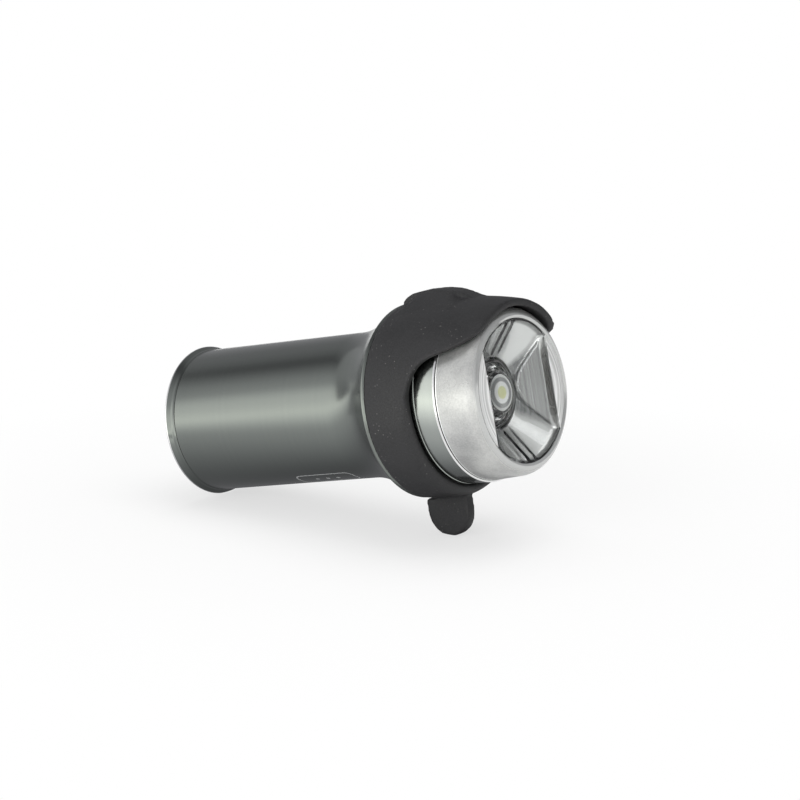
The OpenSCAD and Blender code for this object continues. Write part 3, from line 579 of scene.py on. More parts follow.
# %% Lens
LENS_R, LENS_FRONT_R, LENS_ROUND, RIM_EDGE, LEDGE_R = 12.1, 11.8, 1.95, 10.5, 10.2
POCKET_R, POCKET_S, POCKET_END = 11.4, 51.54, 56.8
LENS_SPIGOT_R, LENS_SPIGOT_IN_R, LENS_GAP, LENS_TURNS = 10.55, 9.0, 0.02, 384
SEAL_S, SEAL_HALF, SEAL_DEPTH = 49.95, 0.51, 0.96
BOSS_R, BOSS_S, BOSS_RISE = 3.05, 53.75, 0.65
PAD_R, PAD_ROOM, PAD_S, PAD_FRONT = 2.5, 0.1, 53.2, 53.8
SATIN_T, SATIN_GAP = 0.12, 0.02
MIDDLE = (LENS_FRONT_R - LENS_ROUND, LENS_FRONT - LENS_ROUND)


def shoulder(inset):
    """The lens's rounded shoulder, from the side wall to the rim."""
    reach = LENS_ROUND - inset
    return [(MIDDLE[0] + reach * math.cos(a), MIDDLE[1] + reach * math.sin(a), 0)
            for a in np.linspace(0, math.acos((RIM_EDGE - MIDDLE[0]) / LENS_ROUND), 16)]


def clear(name, tint, ior, grain, cloud, smudges):
    """Clear plastic with faint smudges in its gloss."""
    material, tree, shader = finish(name, Base_Color=tint, Transmission_Weight=1.0, IOR=ior)
    feed(shader, {"Roughness": spread(tree, moulded(tree, grain, cloud)["Tone"], *smudges)})
    return material


floor_rings = [(4.4, BOWL_FLOOR_S - 0.05, 0.05), (4.25, BOWL_FLOOR_S - 0.3, 0.05),
               (3.4, BOWL_FLOOR_S - 0.3, 0.05), (3.2, BOWL_FLOOR_S + 0.05, 0.05), (BOSS_R, BOSS_S, 0.15)]
boss = [(r, BOSS_S + 0.1 + BOSS_RISE * (1 - (r / BOSS_R) ** 2), 0)
        for r in np.linspace(BOSS_R - 0.3, 0, 10)]
pad_room = [(0, PAD_FRONT + PAD_ROOM, 0), (PAD_R + PAD_ROOM, PAD_FRONT + PAD_ROOM, 0.05),
            (PAD_R + PAD_ROOM, RING_FRONT, 0.05), (BOWL_FLOOR_R - 0.05, RING_FRONT, 0.05)]
pocket = [(BOWL_R + 0.1, POCKET_END, 0.1), (POCKET_R - 0.2, POCKET_END, 0.8), (POCKET_R, POCKET_S, 0.1),
          (LENS_SPIGOT_IN_R, POCKET_S, 0.05)]
spigot = [(LENS_SPIGOT_IN_R, SPIGOT_SEAT + 0.05, 0.1), (LENS_SPIGOT_R, SPIGOT_SEAT + 0.05, 0.1),
          (LENS_SPIGOT_R, SEAL_S - SEAL_HALF, 0.05), (LENS_SPIGOT_R - SEAL_DEPTH, SEAL_S - SEAL_HALF, 0.05),
          (LENS_SPIGOT_R - SEAL_DEPTH, SEAL_S + SEAL_HALF, 0.05), (LENS_SPIGOT_R, SEAL_S + SEAL_HALF, 0.05),
          (LENS_SPIGOT_R, RING_FRONT + LENS_GAP, 0.05)]
outline = rounded(
    [(LENS_R - SATIN_T - SATIN_GAP, RING_FRONT + LENS_GAP, 0.05)] + shoulder(SATIN_T + SATIN_GAP)
    + [(LEDGE_R, LEDGE_S, 0)] + bowl_wall(LEDGE_S, BOWL_FLOOR_S, 0, 0) + floor_rings + boss + pad_room
    + bowl_wall(BOWL_FLOOR_S, LEDGE_S, WALL_R, WALL_S) + pocket + spigot, steps=7)
clear_lens = clear("clear_lens", (0.97, 0.98, 0.975, 1), ior=1.5, grain=5200.0, cloud=420.0,
                   smudges=(0.35, 0.7, 0.01, 0.04))
lens_mesh = lathe("lens_skin", outline, LENS_TURNS, bowl_press)
piece("lens_skin", lens_mesh, clear_lens, "light", "clear", "lens_dome")

# %% [markdown]
# The outside of the lens was blasted in the mould, so its side is a pale satin with a fine speckle, and
# only the rim is smooth. Rough glass could show this, but it is slow to render and noisy. We lay a thin
# satin skin over the clear body instead; a thin line at its edge by the ring is a painted highlight. A second
# skin lies behind the bowl: pale under the curved walls, greyer below as painted shade, and grey with streaks
# under the flats as painted shade for the dark head that one looks into.

# %% Satin outside
SATIN_S, HIGHLIGHT_EDGE_MM, LIP_R = RING_FRONT + 0.1, 0.16, LEDGE_R - 0.05
FROST = (0.385, 0.39, 0.385, 1), (0.575, 0.58, 0.565, 1)
SMOOTH_RIM, PAINTED_HIGHLIGHT_EDGE = (0.56, 0.57, 0.56, 1), (0.95, 0.96, 0.95, 1)
FADE_FROM, FADE_TO, RIM_ROUGH, SPECKLE = 1.1, 0.3, 0.14, 0.6
outline = rounded(
    [(LENS_R, SATIN_S, 0.03)] + shoulder(0) + [(LIP_R, LEDGE_S + 0.07, 0), (LIP_R, LEDGE_S + 0.03, 0)]
    + shoulder(SATIN_T)[::-1] + [(LENS_R - SATIN_T, SATIN_S, 0.03)])
rim_mm = way_at(outline, *shoulder(0)[-1][:2])
mist, tree, shader = finish("mist", Metallic=0.6)
mm = unrolled(tree)[1]
grain = moulded(tree, grain=4200.0, cloud=230.0)
speckle = maths(tree, "ADD", maths(tree, "MULTIPLY", grain["Height"], SPECKLE), grain["Tone"])
frosted = spread(tree, mm, rim_mm - FADE_FROM, rim_mm - FADE_TO, 1.0, 0.0)
colour = between(tree, spread(tree, speckle, 0.6, 1.0), *FROST)
colour = between(tree, frosted, SMOOTH_RIM, colour)
# The satin's edge by the ring is painted bright: a painted highlight line.
colour = between(tree, maths(tree, "LESS_THAN", mm, HIGHLIGHT_EDGE_MM), colour, PAINTED_HIGHLIGHT_EDGE)
rough = maths(tree, "MULTIPLY", frosted, spread(tree, grain["Tone"], *TONES, 0.12, 0.22))
feed(shader, {"Base Color": colour, "Roughness": maths(tree, "ADD", rough, RIM_ROUGH)})
bump(shader, maths(tree, "MULTIPLY", grain["Height"], frosted), depth=8e-6)
piece("lens_satin", lathe("lens_satin", outline), mist, "light", "clear")
print("satin reaches the rim after", round(rim_mm, 2), "mm")

# %% Lining of the bowl
LINED_TO = BOWL_FLOOR_S + 0.35
PALE_LINING, SHADED_LOWER_LINING = (0.92, 0.93, 0.92, 1), (0.5, 0.505, 0.5, 1)
HEAD_SHADE_STREAKS = (0.11, 0.115, 0.115, 1), (0.3, 0.31, 0.31, 1)
FLAT_FROM, FLAT_TO = 0.74, 0.84
LOWER_SHADE_FROM, LOWER_SHADE_TO = -0.5, 0.1
bowl_satin, tree, shader = finish("bowl_satin", Metallic=0.5)
turn, mm = unrolled(tree)
angle = maths(tree, "MULTIPLY", turn, 2 * math.pi)
streaks = noise(tree, mm, scale=2.2, detail=2.0)
front_rows = bowl_wall(LINED_TO, LEDGE_S, *LINING_FRONT)
wall_mm = math.dist(front_rows[0][:2], front_rows[-1][:2])
sideways = spread(tree, maths(tree, "ABSOLUTE", maths(tree, "COSINE", angle)), FLAT_FROM, FLAT_TO)
on_flat = maths(tree, "MULTIPLY", sideways, maths(tree, "LESS_THAN", mm, wall_mm))
# Under the flats the lining is a streaked grey: painted shade for the dark head seen through them.
head_shade = between(tree, spread(tree, streaks, 0.35, 0.65), *HEAD_SHADE_STREAKS)
# Lower down the lining turns greyer: painted shade.
low = spread(tree, maths(tree, "SINE", angle), LOWER_SHADE_FROM, LOWER_SHADE_TO, 1.0, 0.0)
colour = between(tree, on_flat, between(tree, low, PALE_LINING, SHADED_LOWER_LINING), head_shade)
feed(shader, {"Base Color": colour, "Roughness": spread(tree, streaks, *TONES, 0.2, 0.26)})
outline = rounded(front_rows + [(BOWL_R + 0.12, POCKET_END - 0.15, 0), (BOWL_R + 0.17, POCKET_END - 0.45, 0)]
                  + bowl_wall(LEDGE_S, LINED_TO, *LINING_REAR))
piece("bowl_lining", lathe("bowl_lining", outline, LENS_TURNS, bowl_press), bowl_satin, "light", "clear")

# %% [markdown]
# Between the flats and the round rim two ledges stay, shaped like a bow. They were blasted too, and show
# faint rings round the axis. A second helper makes such flat things: it stacks one outline at several
# stations, and grows or shrinks it for a bevel.

# %% Ledges
CHORD, BOW_R = 7.65, LEDGE_R - 0.1
RINGED = (0.6, 0.605, 0.6, 1), (0.92, 0.93, 0.92, 1)
LEDGE_LEVELS = [(LEDGE_S + rise, by) for rise, by in ((0.02, 0.0), (0.09, 0.0), (0.12, -0.05))]


def grown(outline, by):
    """The outline moved outwards along its own normals."""
    edge = np.roll(outline, -1, 0) - np.roll(outline, 1, 0)
    normal = np.stack([edge[:, 1], -edge[:, 0]], 1) / np.linalg.norm(edge, axis=1)[:, None]
    return outline + by * normal


def slab(name, outline, levels):
    """A body between outlines at stations: levels are (station, how much the outline is grown)."""
    rings = [np.column_stack([grown(outline, by), np.full(len(outline), s)]) for s, by in levels]
    count = len(outline)
    faces = [list(range(count)), list(range((len(rings) - 1) * count, len(rings) * count))]
    for base in range(0, (len(rings) - 1) * count, count):
        for k in range(count):
            n = (k + 1) % count
            faces.append([base + k, base + n, base + count + n, base + count + k])
    return tidy(mesh_of(name, laid(np.vstack(rings)), faces))


def bow(side):
    """Outline between the chord of a flat and the round rim."""
    reach = math.acos(CHORD / BOW_R)
    turn = np.linspace(-reach, reach, 48)
    return side * BOW_R * np.stack([np.cos(turn), np.sin(turn)], 1)


def from_axis(tree):
    """Millimetres from the light's axis."""
    away = wire(tree, "ShaderNodeVectorMath", {0: place(tree), 1: PIVOT}, operation="SUBTRACT").outputs[0]
    legs = [wire(tree, "ShaderNodeVectorMath", {0: away, 1: way}, operation="DOT_PRODUCT").outputs["Value"]
            for way in (FAR, UPWARD)]
    return maths(tree, "DIVIDE", length(tree, *legs), MM)


ledge_mist, tree, shader = finish("ledge_mist", Metallic=0.15)
ringed = spread(tree, noise(tree, from_axis(tree), scale=1.9, detail=3.0), 0.38, 0.62)
rough = spread(tree, ringed, 0.0, 1.0, 0.16, 0.24)
feed(shader, {"Base Color": between(tree, ringed, *RINGED), "Roughness": rough})
for name, side in (("ledge_near", -1), ("ledge_far", 1)):
    piece(name, slab(name, bow(side), LEDGE_LEVELS), ledge_mist, "light", "clear")

# %% [markdown]
# Behind the bowl's floor sits the collimator, a clear optic that gathers the lamp's light. Its flank is a
# parabola, and its face is cut in rings round a small middle lens. These rings are what the eye finds
# first in the bowl. It is glass again, so it needs a closed body with a real hollow over the lamp.

# %% Collimator
OPTIC_S, OPTIC_FRONT, OPTIC_REAR_R, OPTIC_R, FLANGE_R, FLANGE_S = 47.1, 51.35, 2.2, 4.4, 5.0, 50.75
HOLLOW_R, HOLLOW_H, HOLLOW_CONE = 1.6, 2.0, 0.6
DOME_REACH, DOME_SINK, DOME_FALL = 2.1, 0.12, 0.42
flank = [(OPTIC_REAR_R + (OPTIC_R - OPTIC_REAR_R) * t, OPTIC_S + (FLANGE_S - OPTIC_S) * t * t, 0)
         for t in np.linspace(0, 1, 16)]
flange = [(FLANGE_R, FLANGE_S, 0.08), (FLANGE_R, OPTIC_FRONT, 0.08)]
face = [(4.75, OPTIC_FRONT, 0.06), (4.55, OPTIC_FRONT - 0.3, 0.05), (3.75, OPTIC_FRONT - 0.3, 0.05),
        (3.55, OPTIC_FRONT, 0.06), (2.75, OPTIC_FRONT, 0.06), (2.55, OPTIC_FRONT - 0.55, 0.05),
        (2.25, OPTIC_FRONT - 0.6, 0.05)]
dome = [(r, OPTIC_FRONT - DOME_SINK - DOME_FALL * (r / DOME_REACH) ** 2, 0)
        for r in np.linspace(DOME_REACH, 0, 9)]
hollow = [(0, OPTIC_S + HOLLOW_H, 0), (HOLLOW_R, OPTIC_S + HOLLOW_H - HOLLOW_CONE, 0.15),
          (HOLLOW_R, OPTIC_S, 0.05)]
outline = rounded(flank + flange + face + dome + hollow)
clear_optic = clear("clear_optic", (0.98, 0.985, 0.98, 1), ior=1.49, grain=3000.0, cloud=500.0,
                    smudges=(*TONES, 0.0, 0.03))
piece("collimator_skin", lathe("collimator_skin", outline), clear_optic, "light", "clear", "collimator")

# %% [markdown]
# The lamp under the optic is a chip with yellow phosphor. The optic enlarges it, so it is the one spot of
# colour in the picture, but to trace it through so much curved glass takes long and stays noisy. A small
# pad under the middle of the bowl carries a painted picture of it in rings: the yellow chip, a painted
# highlight for the white dome, painted shade for the dark gap and a painted highlight for the pale edge of
# the optic. A pale tube holds the optic.

# %% Lamp pad and optic holder
CHIP = (0.68, 0.70, 0.30, 1), (0.78, 0.80, 0.44, 1)
PAINTED_LAMP_RINGS = ((0.85, (0.92, 0.93, 0.92, 1)), (1.5, (0.28, 0.29, 0.29, 1)), (2.1, (0.85, 0.86, 0.85, 1)))
RING_SOFT = 0.08
painted_lamp_picture, tree, shader = finish("painted_lamp_picture", Roughness=0.3)
colour = between(tree, moulded(tree, grain=5000.0, cloud=900.0)["Tone"], *CHIP)
axis_mm = from_axis(tree)
# Rings of painted highlight and painted shade round the chip: the lamp as seen through the optic.
for radius, beyond in PAINTED_LAMP_RINGS:
    colour = between(tree, spread(tree, axis_mm, radius - RING_SOFT, radius + RING_SOFT), colour, beyond)
feed(shader, {"Base Color": colour})
outline = rounded([(0, PAD_S, 0), (PAD_R, PAD_S, 0.05), (PAD_R, PAD_FRONT, 0.05), (0, PAD_FRONT, 0)])
piece("lamp_pad", lathe("lamp_pad", outline, turns=96), painted_lamp_picture, "light", "phosphor")

HOLDER_R, HOLDER_IN_R, HOLDER_FRONT, LED_S = 5.05, 4.45, 50.7, 46.12
HOLDER = (0.6, 0.6, 0.59, 1), (0.72, 0.72, 0.7, 1)
pale_holder, tree, shader = finish("pale_holder", Roughness=0.45)
feed(shader, {"Base Color": between(tree, moulded(tree, grain=5000.0, cloud=700.0)["Tone"], *HOLDER)})
outline = rounded([(HOLDER_R, LED_S, 0.1), (HOLDER_R, HOLDER_FRONT, 0.1),
                   (HOLDER_IN_R, HOLDER_FRONT, 0.1), (HOLDER_IN_R, LED_S, 0.1)])
holder_mesh = lathe("holder_skin", outline, turns=128)
piece("holder_skin", holder_mesh, pale_holder, "light", "pale_plastic", "optic_holder")

# %% [markdown]
# The band is one soft silicone moulding: a collar, the hood that keeps glare out of the rider's eyes, a
# low lobe on top that a strap hooks over, and a pull tab. The solid has all these forms with hard edges.
# Soft rubber has none, so we take a copy, turn it into an even skin with a voxel Remesh and let a Smooth
# modifier melt the edges together. A hand-made subdivision cage would take far longer for the same soft
# blends.

# %% Silicone finish
RUBBER = (0.0125, 0.0125, 0.013, 1), (0.019, 0.019, 0.02, 1)
RUBBED, DUSTY = (0.042, 0.042, 0.044, 1), (0.26, 0.25, 0.24, 1)
silicone, tree, shader = finish("silicone", Specular_IOR_Level=0.4)
grain = moulded(tree, grain=5200.0, cloud=190.0)
specks = use(tree, dust, Vector=place(tree), Density=1500.0, Size=0.16)["Mask"]
colour = between(tree, spread(tree, grain["Tone"], *TONES), *RUBBER)
colour = between(tree, spread(tree, grain["Height"], 0.35, 0.65, 0.0, 0.35), colour, RUBBED)
colour = between(tree, maths(tree, "MULTIPLY", specks, 0.8), colour, DUSTY)
feed(shader, {"Base Color": colour, "Roughness": spread(tree, grain["Tone"], *TONES, 0.56, 0.68)})
bump(shader, grain["Height"], depth=5e-6, strength=0.7)
print("finish:", silicone.name)

# %% The band's solid, with a roof under its lobe
TENT_CREST, TENT_BASE = (1.4, 15.18, 43.9, 48.9), (5.3, 12.8, 41.5, 51.5)


def solid_copy(node, name):
    """A solid's mesh with its loose triangles merged, free to be changed."""
    mesh = solids[node].data.copy()
    mesh.name = name
    return worked(mesh, lambda work: bmesh.ops.remove_doubles(work, verts=work.verts, dist=1e-7))


def plain_result(name, bench):
    """The plain mesh that an object's modifiers give; the object goes."""
    done = bpy.data.meshes.new_from_object(bench.evaluated_get(bpy.context.evaluated_depsgraph_get()))
    done.name = name
    bench.modifiers.clear()
    bpy.data.objects.remove(bench)
    return done


def baked(name, mesh, *modifiers):
    """Run a mesh through modifiers of (type, settings) and return the plain result."""
    bench = add(name + "_bench", mesh)
    for kind, settings in modifiers:
        modifier = bench.modifiers.new(kind.lower(), kind)
        for key, value in settings.items():
            setattr(modifier, key, value)
    return plain_result(name, bench)


def tent(mesh):
    """Add the roof that carries the lobe: the hull of its ridge and its two feet."""
    corners = laid([(side * x, y, s) for x, y, s0, s1 in (TENT_CREST, TENT_BASE)
                    for side in (-1, 1) for s in (s0, s1)])
    return worked(mesh, lambda work: bmesh.ops.convex_hull(work, input=[work.verts.new(c) for c in corners]))


band_work = tent(solid_copy("mount_band", "band_work"))
print("band solid with its roof, points:", len(band_work.vertices))

# %% Silicone band
VOXEL, SWELL, ROOM = 0.2 * MM, 0.08, 0.15 * MM
THIN_R, THIN_BLEND = 12.2, 0.6
TAPER_S, TAPER_LEN, TAPER, COLLAR_STEP_R = 45.9, 1.5, 0.45, 12.5
TAPER_UP, TAPER_BLEND = 1.5, 2.5
TWIST_S, TWIST_LEN, TWIST = 48.0, 9.0, math.radians(3.0)
DROOP_S, DROOP_LEN, DROOP = 50.0, 7.0, math.radians(4.0)
NOSE_UP, NOSE_S = (13.4, 13.6, 14.2, 14.8, 15.3, 15.55), (40.2, 40.3, 40.7, 41.4, 42.6, 44.9)


def ease(value):
    """0 to 1 with soft ends."""
    value = np.clip(value, 0, 1)
    return value * value * (3 - 2 * value)


def held(values, limit):
    """Ease values so that none passes the limit."""
    over = np.maximum(values - limit + ROOM, 0)
    return np.where(over > 0, limit - ROOM * np.exp(-over / ROOM), values)


def moved(mesh, points):
    """Give a mesh new points."""
    mesh.vertices.foreach_set("co", points.ravel())
    mesh.update()
    return mesh


def settled(mesh):
    """Swell what the smoothing took, round the lobe's nose, thin the collar and turn the hood a little."""
    points, normals = rows_of(mesh.vertices, "co"), rows_of(mesh.vertex_normals, "vector")
    far, up, forward = measured(points)
    swell = SWELL * MM * ease((np.hypot(far, up) - THIN_R + THIN_BLEND / 2) / THIN_BLEND)
    far, up, forward = measured(points + swell[:, None] * normals)
    reach, turn = np.hypot(far, up), np.arctan2(far, up)
    thin = ease((forward - TAPER_S) / TAPER_LEN) * ease((TAPER_UP - up) / TAPER_BLEND)
    reach = reach - TAPER * thin * np.clip((reach - COLLAR_STEP_R) / (RIM_R - COLLAR_STEP_R), 0, 1)
    turn = turn + TWIST * ease((forward - TWIST_S) / TWIST_LEN)
    turn = turn + DROOP * ease((forward - DROOP_S) / DROOP_LEN) * ease(turn)
    forward = np.where(up > NOSE_UP[0], np.maximum(forward, np.interp(up, NOSE_UP, NOSE_S)), forward)
    low, high = np.array(cad_box)
    points = laid(np.stack([reach * np.sin(turn), reach * np.cos(turn), forward], 1))
    return moved(mesh, -held(-held(points, high), -low))


band_mesh = settled(baked("band_soft", band_work, ("REMESH", {"mode": "VOXEL", "voxel_size": VOXEL}),
                          ("SMOOTH", {"factor": 0.5, "iterations": 5})))
band_mesh = baked("band_skin", band_mesh, ("SMOOTH", {"factor": 0.5, "iterations": 4}))
band_mesh.shade_smooth()
piece("band_skin", band_mesh, silicone, "band", "silicone", "mount_band")

# %% [markdown]
# The rear cap isn't in the photograph, but the object is looked at from all sides. It is turned from the
# same alloy, with a bead that the light rests on, and cut for the button, the charging port and a light
# pipe. We turn it on the lathe and cut it with Booleans; each cutter flares at the rear face, so every cut
# gets a chamfer.

# %% Outlines of the cuts
BUTTON_Y, BUTTON_R, PIPE_X, PIPE_Y, PIPE_R = 3.4, 3.4, 6.2, -0.4, 0.9
PORT_Y, PORT_W, PORT_H = -4.4, 9.54, 3.86
COVER_H, COVER_REACH, COVER_HINGE_X, RECESS_S = 5.2, 5.4, 5.2, 1.5
CAP_WALL, HINGE_ROOM, SOFT_GAP, FLARE = 2.2, 1.06, 0.15, 0.14
FACING = 0.9999


def arc(first, last, count, radius, endpoint=True):
    """Points on part of a circle, in shares of half a turn."""
    turn = np.linspace(first * math.pi, last * math.pi, count, endpoint=endpoint)
    return radius * np.stack([np.cos(turn), np.sin(turn)], 1)


def round_outline(x, y, r, count=64):
    """A circle."""
    return arc(0, 2, count, r, endpoint=False) + (x, y)


def cover_outline(reach, hinge, height):
    """The cover's plate: round at its free end, straight at its hinge."""
    end = arc(0.5, 1.5, 40, height / 2) + (height / 2 - reach, PORT_Y)
    return np.vstack([end, [(hinge, PORT_Y - height / 2), (hinge, PORT_Y + height / 2)]])


def slot_outline(width, height):
    """A slot with two round ends."""
    end = arc(-0.5, 0.5, 24, height / 2) + ((width - height) / 2, 0)
    return np.vstack([end, -end]) + (0, PORT_Y)


def cut(mesh, name, cutters):
    """Take cutters away from a mesh, and shade its flat ends flat."""
    tools = [add(cutter.name, cutter) for cutter in cutters]
    done = baked(name, mesh, *[("BOOLEAN", {"operation": "DIFFERENCE", "object": tool, "solver": "EXACT"})
                               for tool in tools])
    for tool in tools:
        bpy.data.objects.remove(tool)
    tidy(done)
    for face in done.polygons:
        face.use_smooth = abs(face.normal @ Vector(AHEAD)) < FACING
    return done


mouth = [(-0.5, FLARE + 0.5), (0.0, FLARE), (FLARE, 0.0)]
through = (CAP_WALL + 1, 0.0)
recess = cover_outline(COVER_REACH + SOFT_GAP, COVER_HINGE_X + HINGE_ROOM, COVER_H + 2 * SOFT_GAP)
cutters = [slab("button_hole", round_outline(0, BUTTON_Y, BUTTON_R + 0.08), mouth + [through]),
           slab("pipe_hole", round_outline(PIPE_X, PIPE_Y, PIPE_R + 0.05, 32), mouth + [through]),
           slab("cover_recess", recess, mouth + [(RECESS_S, 0.0)]),
           slab("port_slot", slot_outline(PORT_W, PORT_H), [(0.5, 0.0), through])]
print("cutters:", [cutter.name for cutter in cutters])

# %% Rear cap
BEAD_R, BEAD_S, REAR_R, HOLLOW_CAP_R, SPIGOT_R, BOARD_S = 11.1, 0.75, 10.15, 7.8, 9.25, 8.4
STEP_R, STEP_S, JOINT_S = 10.57, 1.4, BEAD_W - 0.06
outline = rounded(
    [(0, 0, 0), (REAR_R - 0.4, 0, 0), (REAR_R, 0, 0.3), (BEAD_R, BEAD_S, 0.14), (STEP_R, STEP_S, 0.3),
     (BARREL_R + 0.02, BEAD_W - 0.22, 0.06), (BARREL_R - HEEL, JOINT_S, 0.03), (SPIGOT_R, JOINT_S, 0.1),
     (SPIGOT_R, BOARD_S, 0.15), (HOLLOW_CAP_R, BOARD_S, 0.1), (HOLLOW_CAP_R, CAP_WALL, 0.1),
     (0, CAP_WALL, 0)], steps=10)
cap_mesh = cut(lathe("cap_work", outline), "rear_cap_skin", cutters)
crown_mm = way_at(outline, BEAD_R, BEAD_S)
# The bead's crown gets a pale band: a painted highlight along it.
crown = (crown_mm - CROWN_HIGHLIGHT_HALF, crown_mm + CROWN_HIGHLIGHT_HALF, HIGHLIGHT_PALE)
gunmetal_cap = turned("gunmetal_cap", GUNMETAL, rough=0.12, depth=1e-7, bright=crown, Anisotropic=0.3)
piece("rear_cap_skin", cap_mesh, gunmetal_cap, "light", "anodised", "rear_cap")

# %% [markdown]
# Button and port cover are moulded in the same silicone as the band. The button is turned, with a rounded
# rim and a dish for a fingertip. The cover, with its hinge roll at one end and its plug behind, keeps its
# solid's form and gets its edges rounded by a Bevel modifier.

# %% Button and port cover
BUTTON_SINK, LIP_S, LIP_T, STEM_R, STEM_END = 0.3, 2.25, 0.8, 1.2, 4.9
DISH_R, DISH_DEPTH, LIP_OUT_R = 2.5, 0.35, BUTTON_R + 0.5
BEVEL = {"width": 0.22 * MM, "segments": 3, "limit_method": "ANGLE", "angle_limit": math.radians(50)}
dish = [(r, BUTTON_SINK + DISH_DEPTH - DISH_DEPTH * (r / DISH_R) ** 2, 0)
        for r in np.linspace(0, DISH_R, 8)]
outline = rounded(
    dish + [(BUTTON_R, BUTTON_SINK, 0.45), (BUTTON_R, LIP_S, 0.05), (LIP_OUT_R, LIP_S, 0.1),
            (LIP_OUT_R, LIP_S + LIP_T, 0.1), (STEM_R, LIP_S + LIP_T, 0.1), (STEM_R, STEM_END, 0.1),
            (0, STEM_END, 0)])
button_mesh = lathe("button_skin", outline, turns=96)
moved(button_mesh, rows_of(button_mesh.vertices, "co") + BUTTON_Y * MM * UPWARD)
piece("button_skin", button_mesh, silicone, "push_button", "silicone", "button")
cover_mesh = tidy(baked("port_cover_skin", solid_copy("port_cover", "cover_work"), ("BEVEL", BEVEL)))
piece("port_cover_skin", cover_mesh, silicone, "cover", "silicone", "port_cover")

# %% [markdown]
# The other solids keep their shape: they lie inside, and only show when someone opens the light. Each slot
# of the record still gets a finish with some life in it, made in one loop from two tones, roughness, metal
# and the size of its clouds.

# %% Inner finishes
INNER = {
    "seal": ((0.012, 0.012, 0.012), (0.02, 0.02, 0.02), 0.55, 0.0, 2200),
    "black_plastic": ((0.022, 0.022, 0.024), (0.035, 0.035, 0.037), 0.42, 0.0, 3000),
    "pale_plastic": ((0.74, 0.73, 0.69), (0.82, 0.81, 0.77), 0.45, 0.0, 2500),
    "board": ((0.012, 0.13, 0.06), (0.02, 0.19, 0.10), 0.35, 0.0, 1500),
    "white_board": ((0.78, 0.78, 0.77), (0.86, 0.86, 0.85), 0.4, 0.0, 1800),
    "bare_aluminium": ((0.60, 0.61, 0.62), (0.72, 0.73, 0.74), 0.35, 1.0, 2600),
    "steel": ((0.55, 0.55, 0.55), (0.66, 0.66, 0.66), 0.28, 1.0, 2600),
    "cell_wrap": ((0.05, 0.15, 0.36), (0.07, 0.2, 0.45), 0.3, 0.0, 900),
    "flex": ((0.5, 0.24, 0.05), (0.6, 0.32, 0.08), 0.3, 0.0, 1500),
    "ceramic": ((0.82, 0.82, 0.8), (0.88, 0.88, 0.86), 0.4, 0.0, 3000),
    "phosphor": ((0.80, 0.62, 0.05), (0.92, 0.78, 0.14), 0.5, 0.0, 4000),
    "wire_red": ((0.42, 0.02, 0.02), (0.55, 0.04, 0.03), 0.4, 0.0, 2000),
}
INNER_GRAIN, INNER_DRIFT, INNER_BUMP = 6000.0, 0.06, 3e-6
inner = {"clear": clear_optic}
for slot, (dark, pale, rough, metal, cloud) in INNER.items():
    inner[slot], tree, shader = finish(slot, Metallic=metal)
    grain = moulded(tree, INNER_GRAIN, cloud)
    colour = between(tree, spread(tree, grain["Tone"], *TONES), (*dark, 1), (*pale, 1))
    uneven = spread(tree, grain["Tone"], *TONES, rough - INNER_DRIFT, rough + INNER_DRIFT)
    feed(shader, {"Base Color": colour, "Roughness": uneven})
    bump(shader, grain["Height"], INNER_BUMP, strength=0.5)
slots = {part["node"]: part["material_slot"] for part in frame["record"]["subparts"]}
kept = [node for node, solid in solids.items() if not solid.hide_render]
for node in kept:
    solids[node].data.materials.clear()
    solids[node].data.materials.append(inner[slots[node]])
print("kept solids:", len(kept))

# %% [markdown]
# Behind the cover, two rows of contacts lie on the socket's tongue. They all have one form and one step,
# so Geometry Nodes set them: a rounded strip is drawn once, placed along a line and made real. A second
# row comes from half a turn about the tongue's own line, which keeps the faces outward, as a mirror would
# not.

# %% Tree for the contacts
TONGUE_S, TONGUE_HALF, CONTACT_START = 3.05, 0.35, 0.3
CONTACT = {"Count": 12, "Pitch": 0.5, "Width": 0.25, "Length": 2.4, "Rounding": 0.08, "Thickness": 0.05,
           "Height": TONGUE_HALF - 0.02}


def joined(tree, *parts):
    """Several geometries as one."""
    node = tree.nodes.new("GeometryNodeJoinGeometry")
    for part in parts:
        tree.links.new(part, node.inputs[0])
    return node.outputs[0]


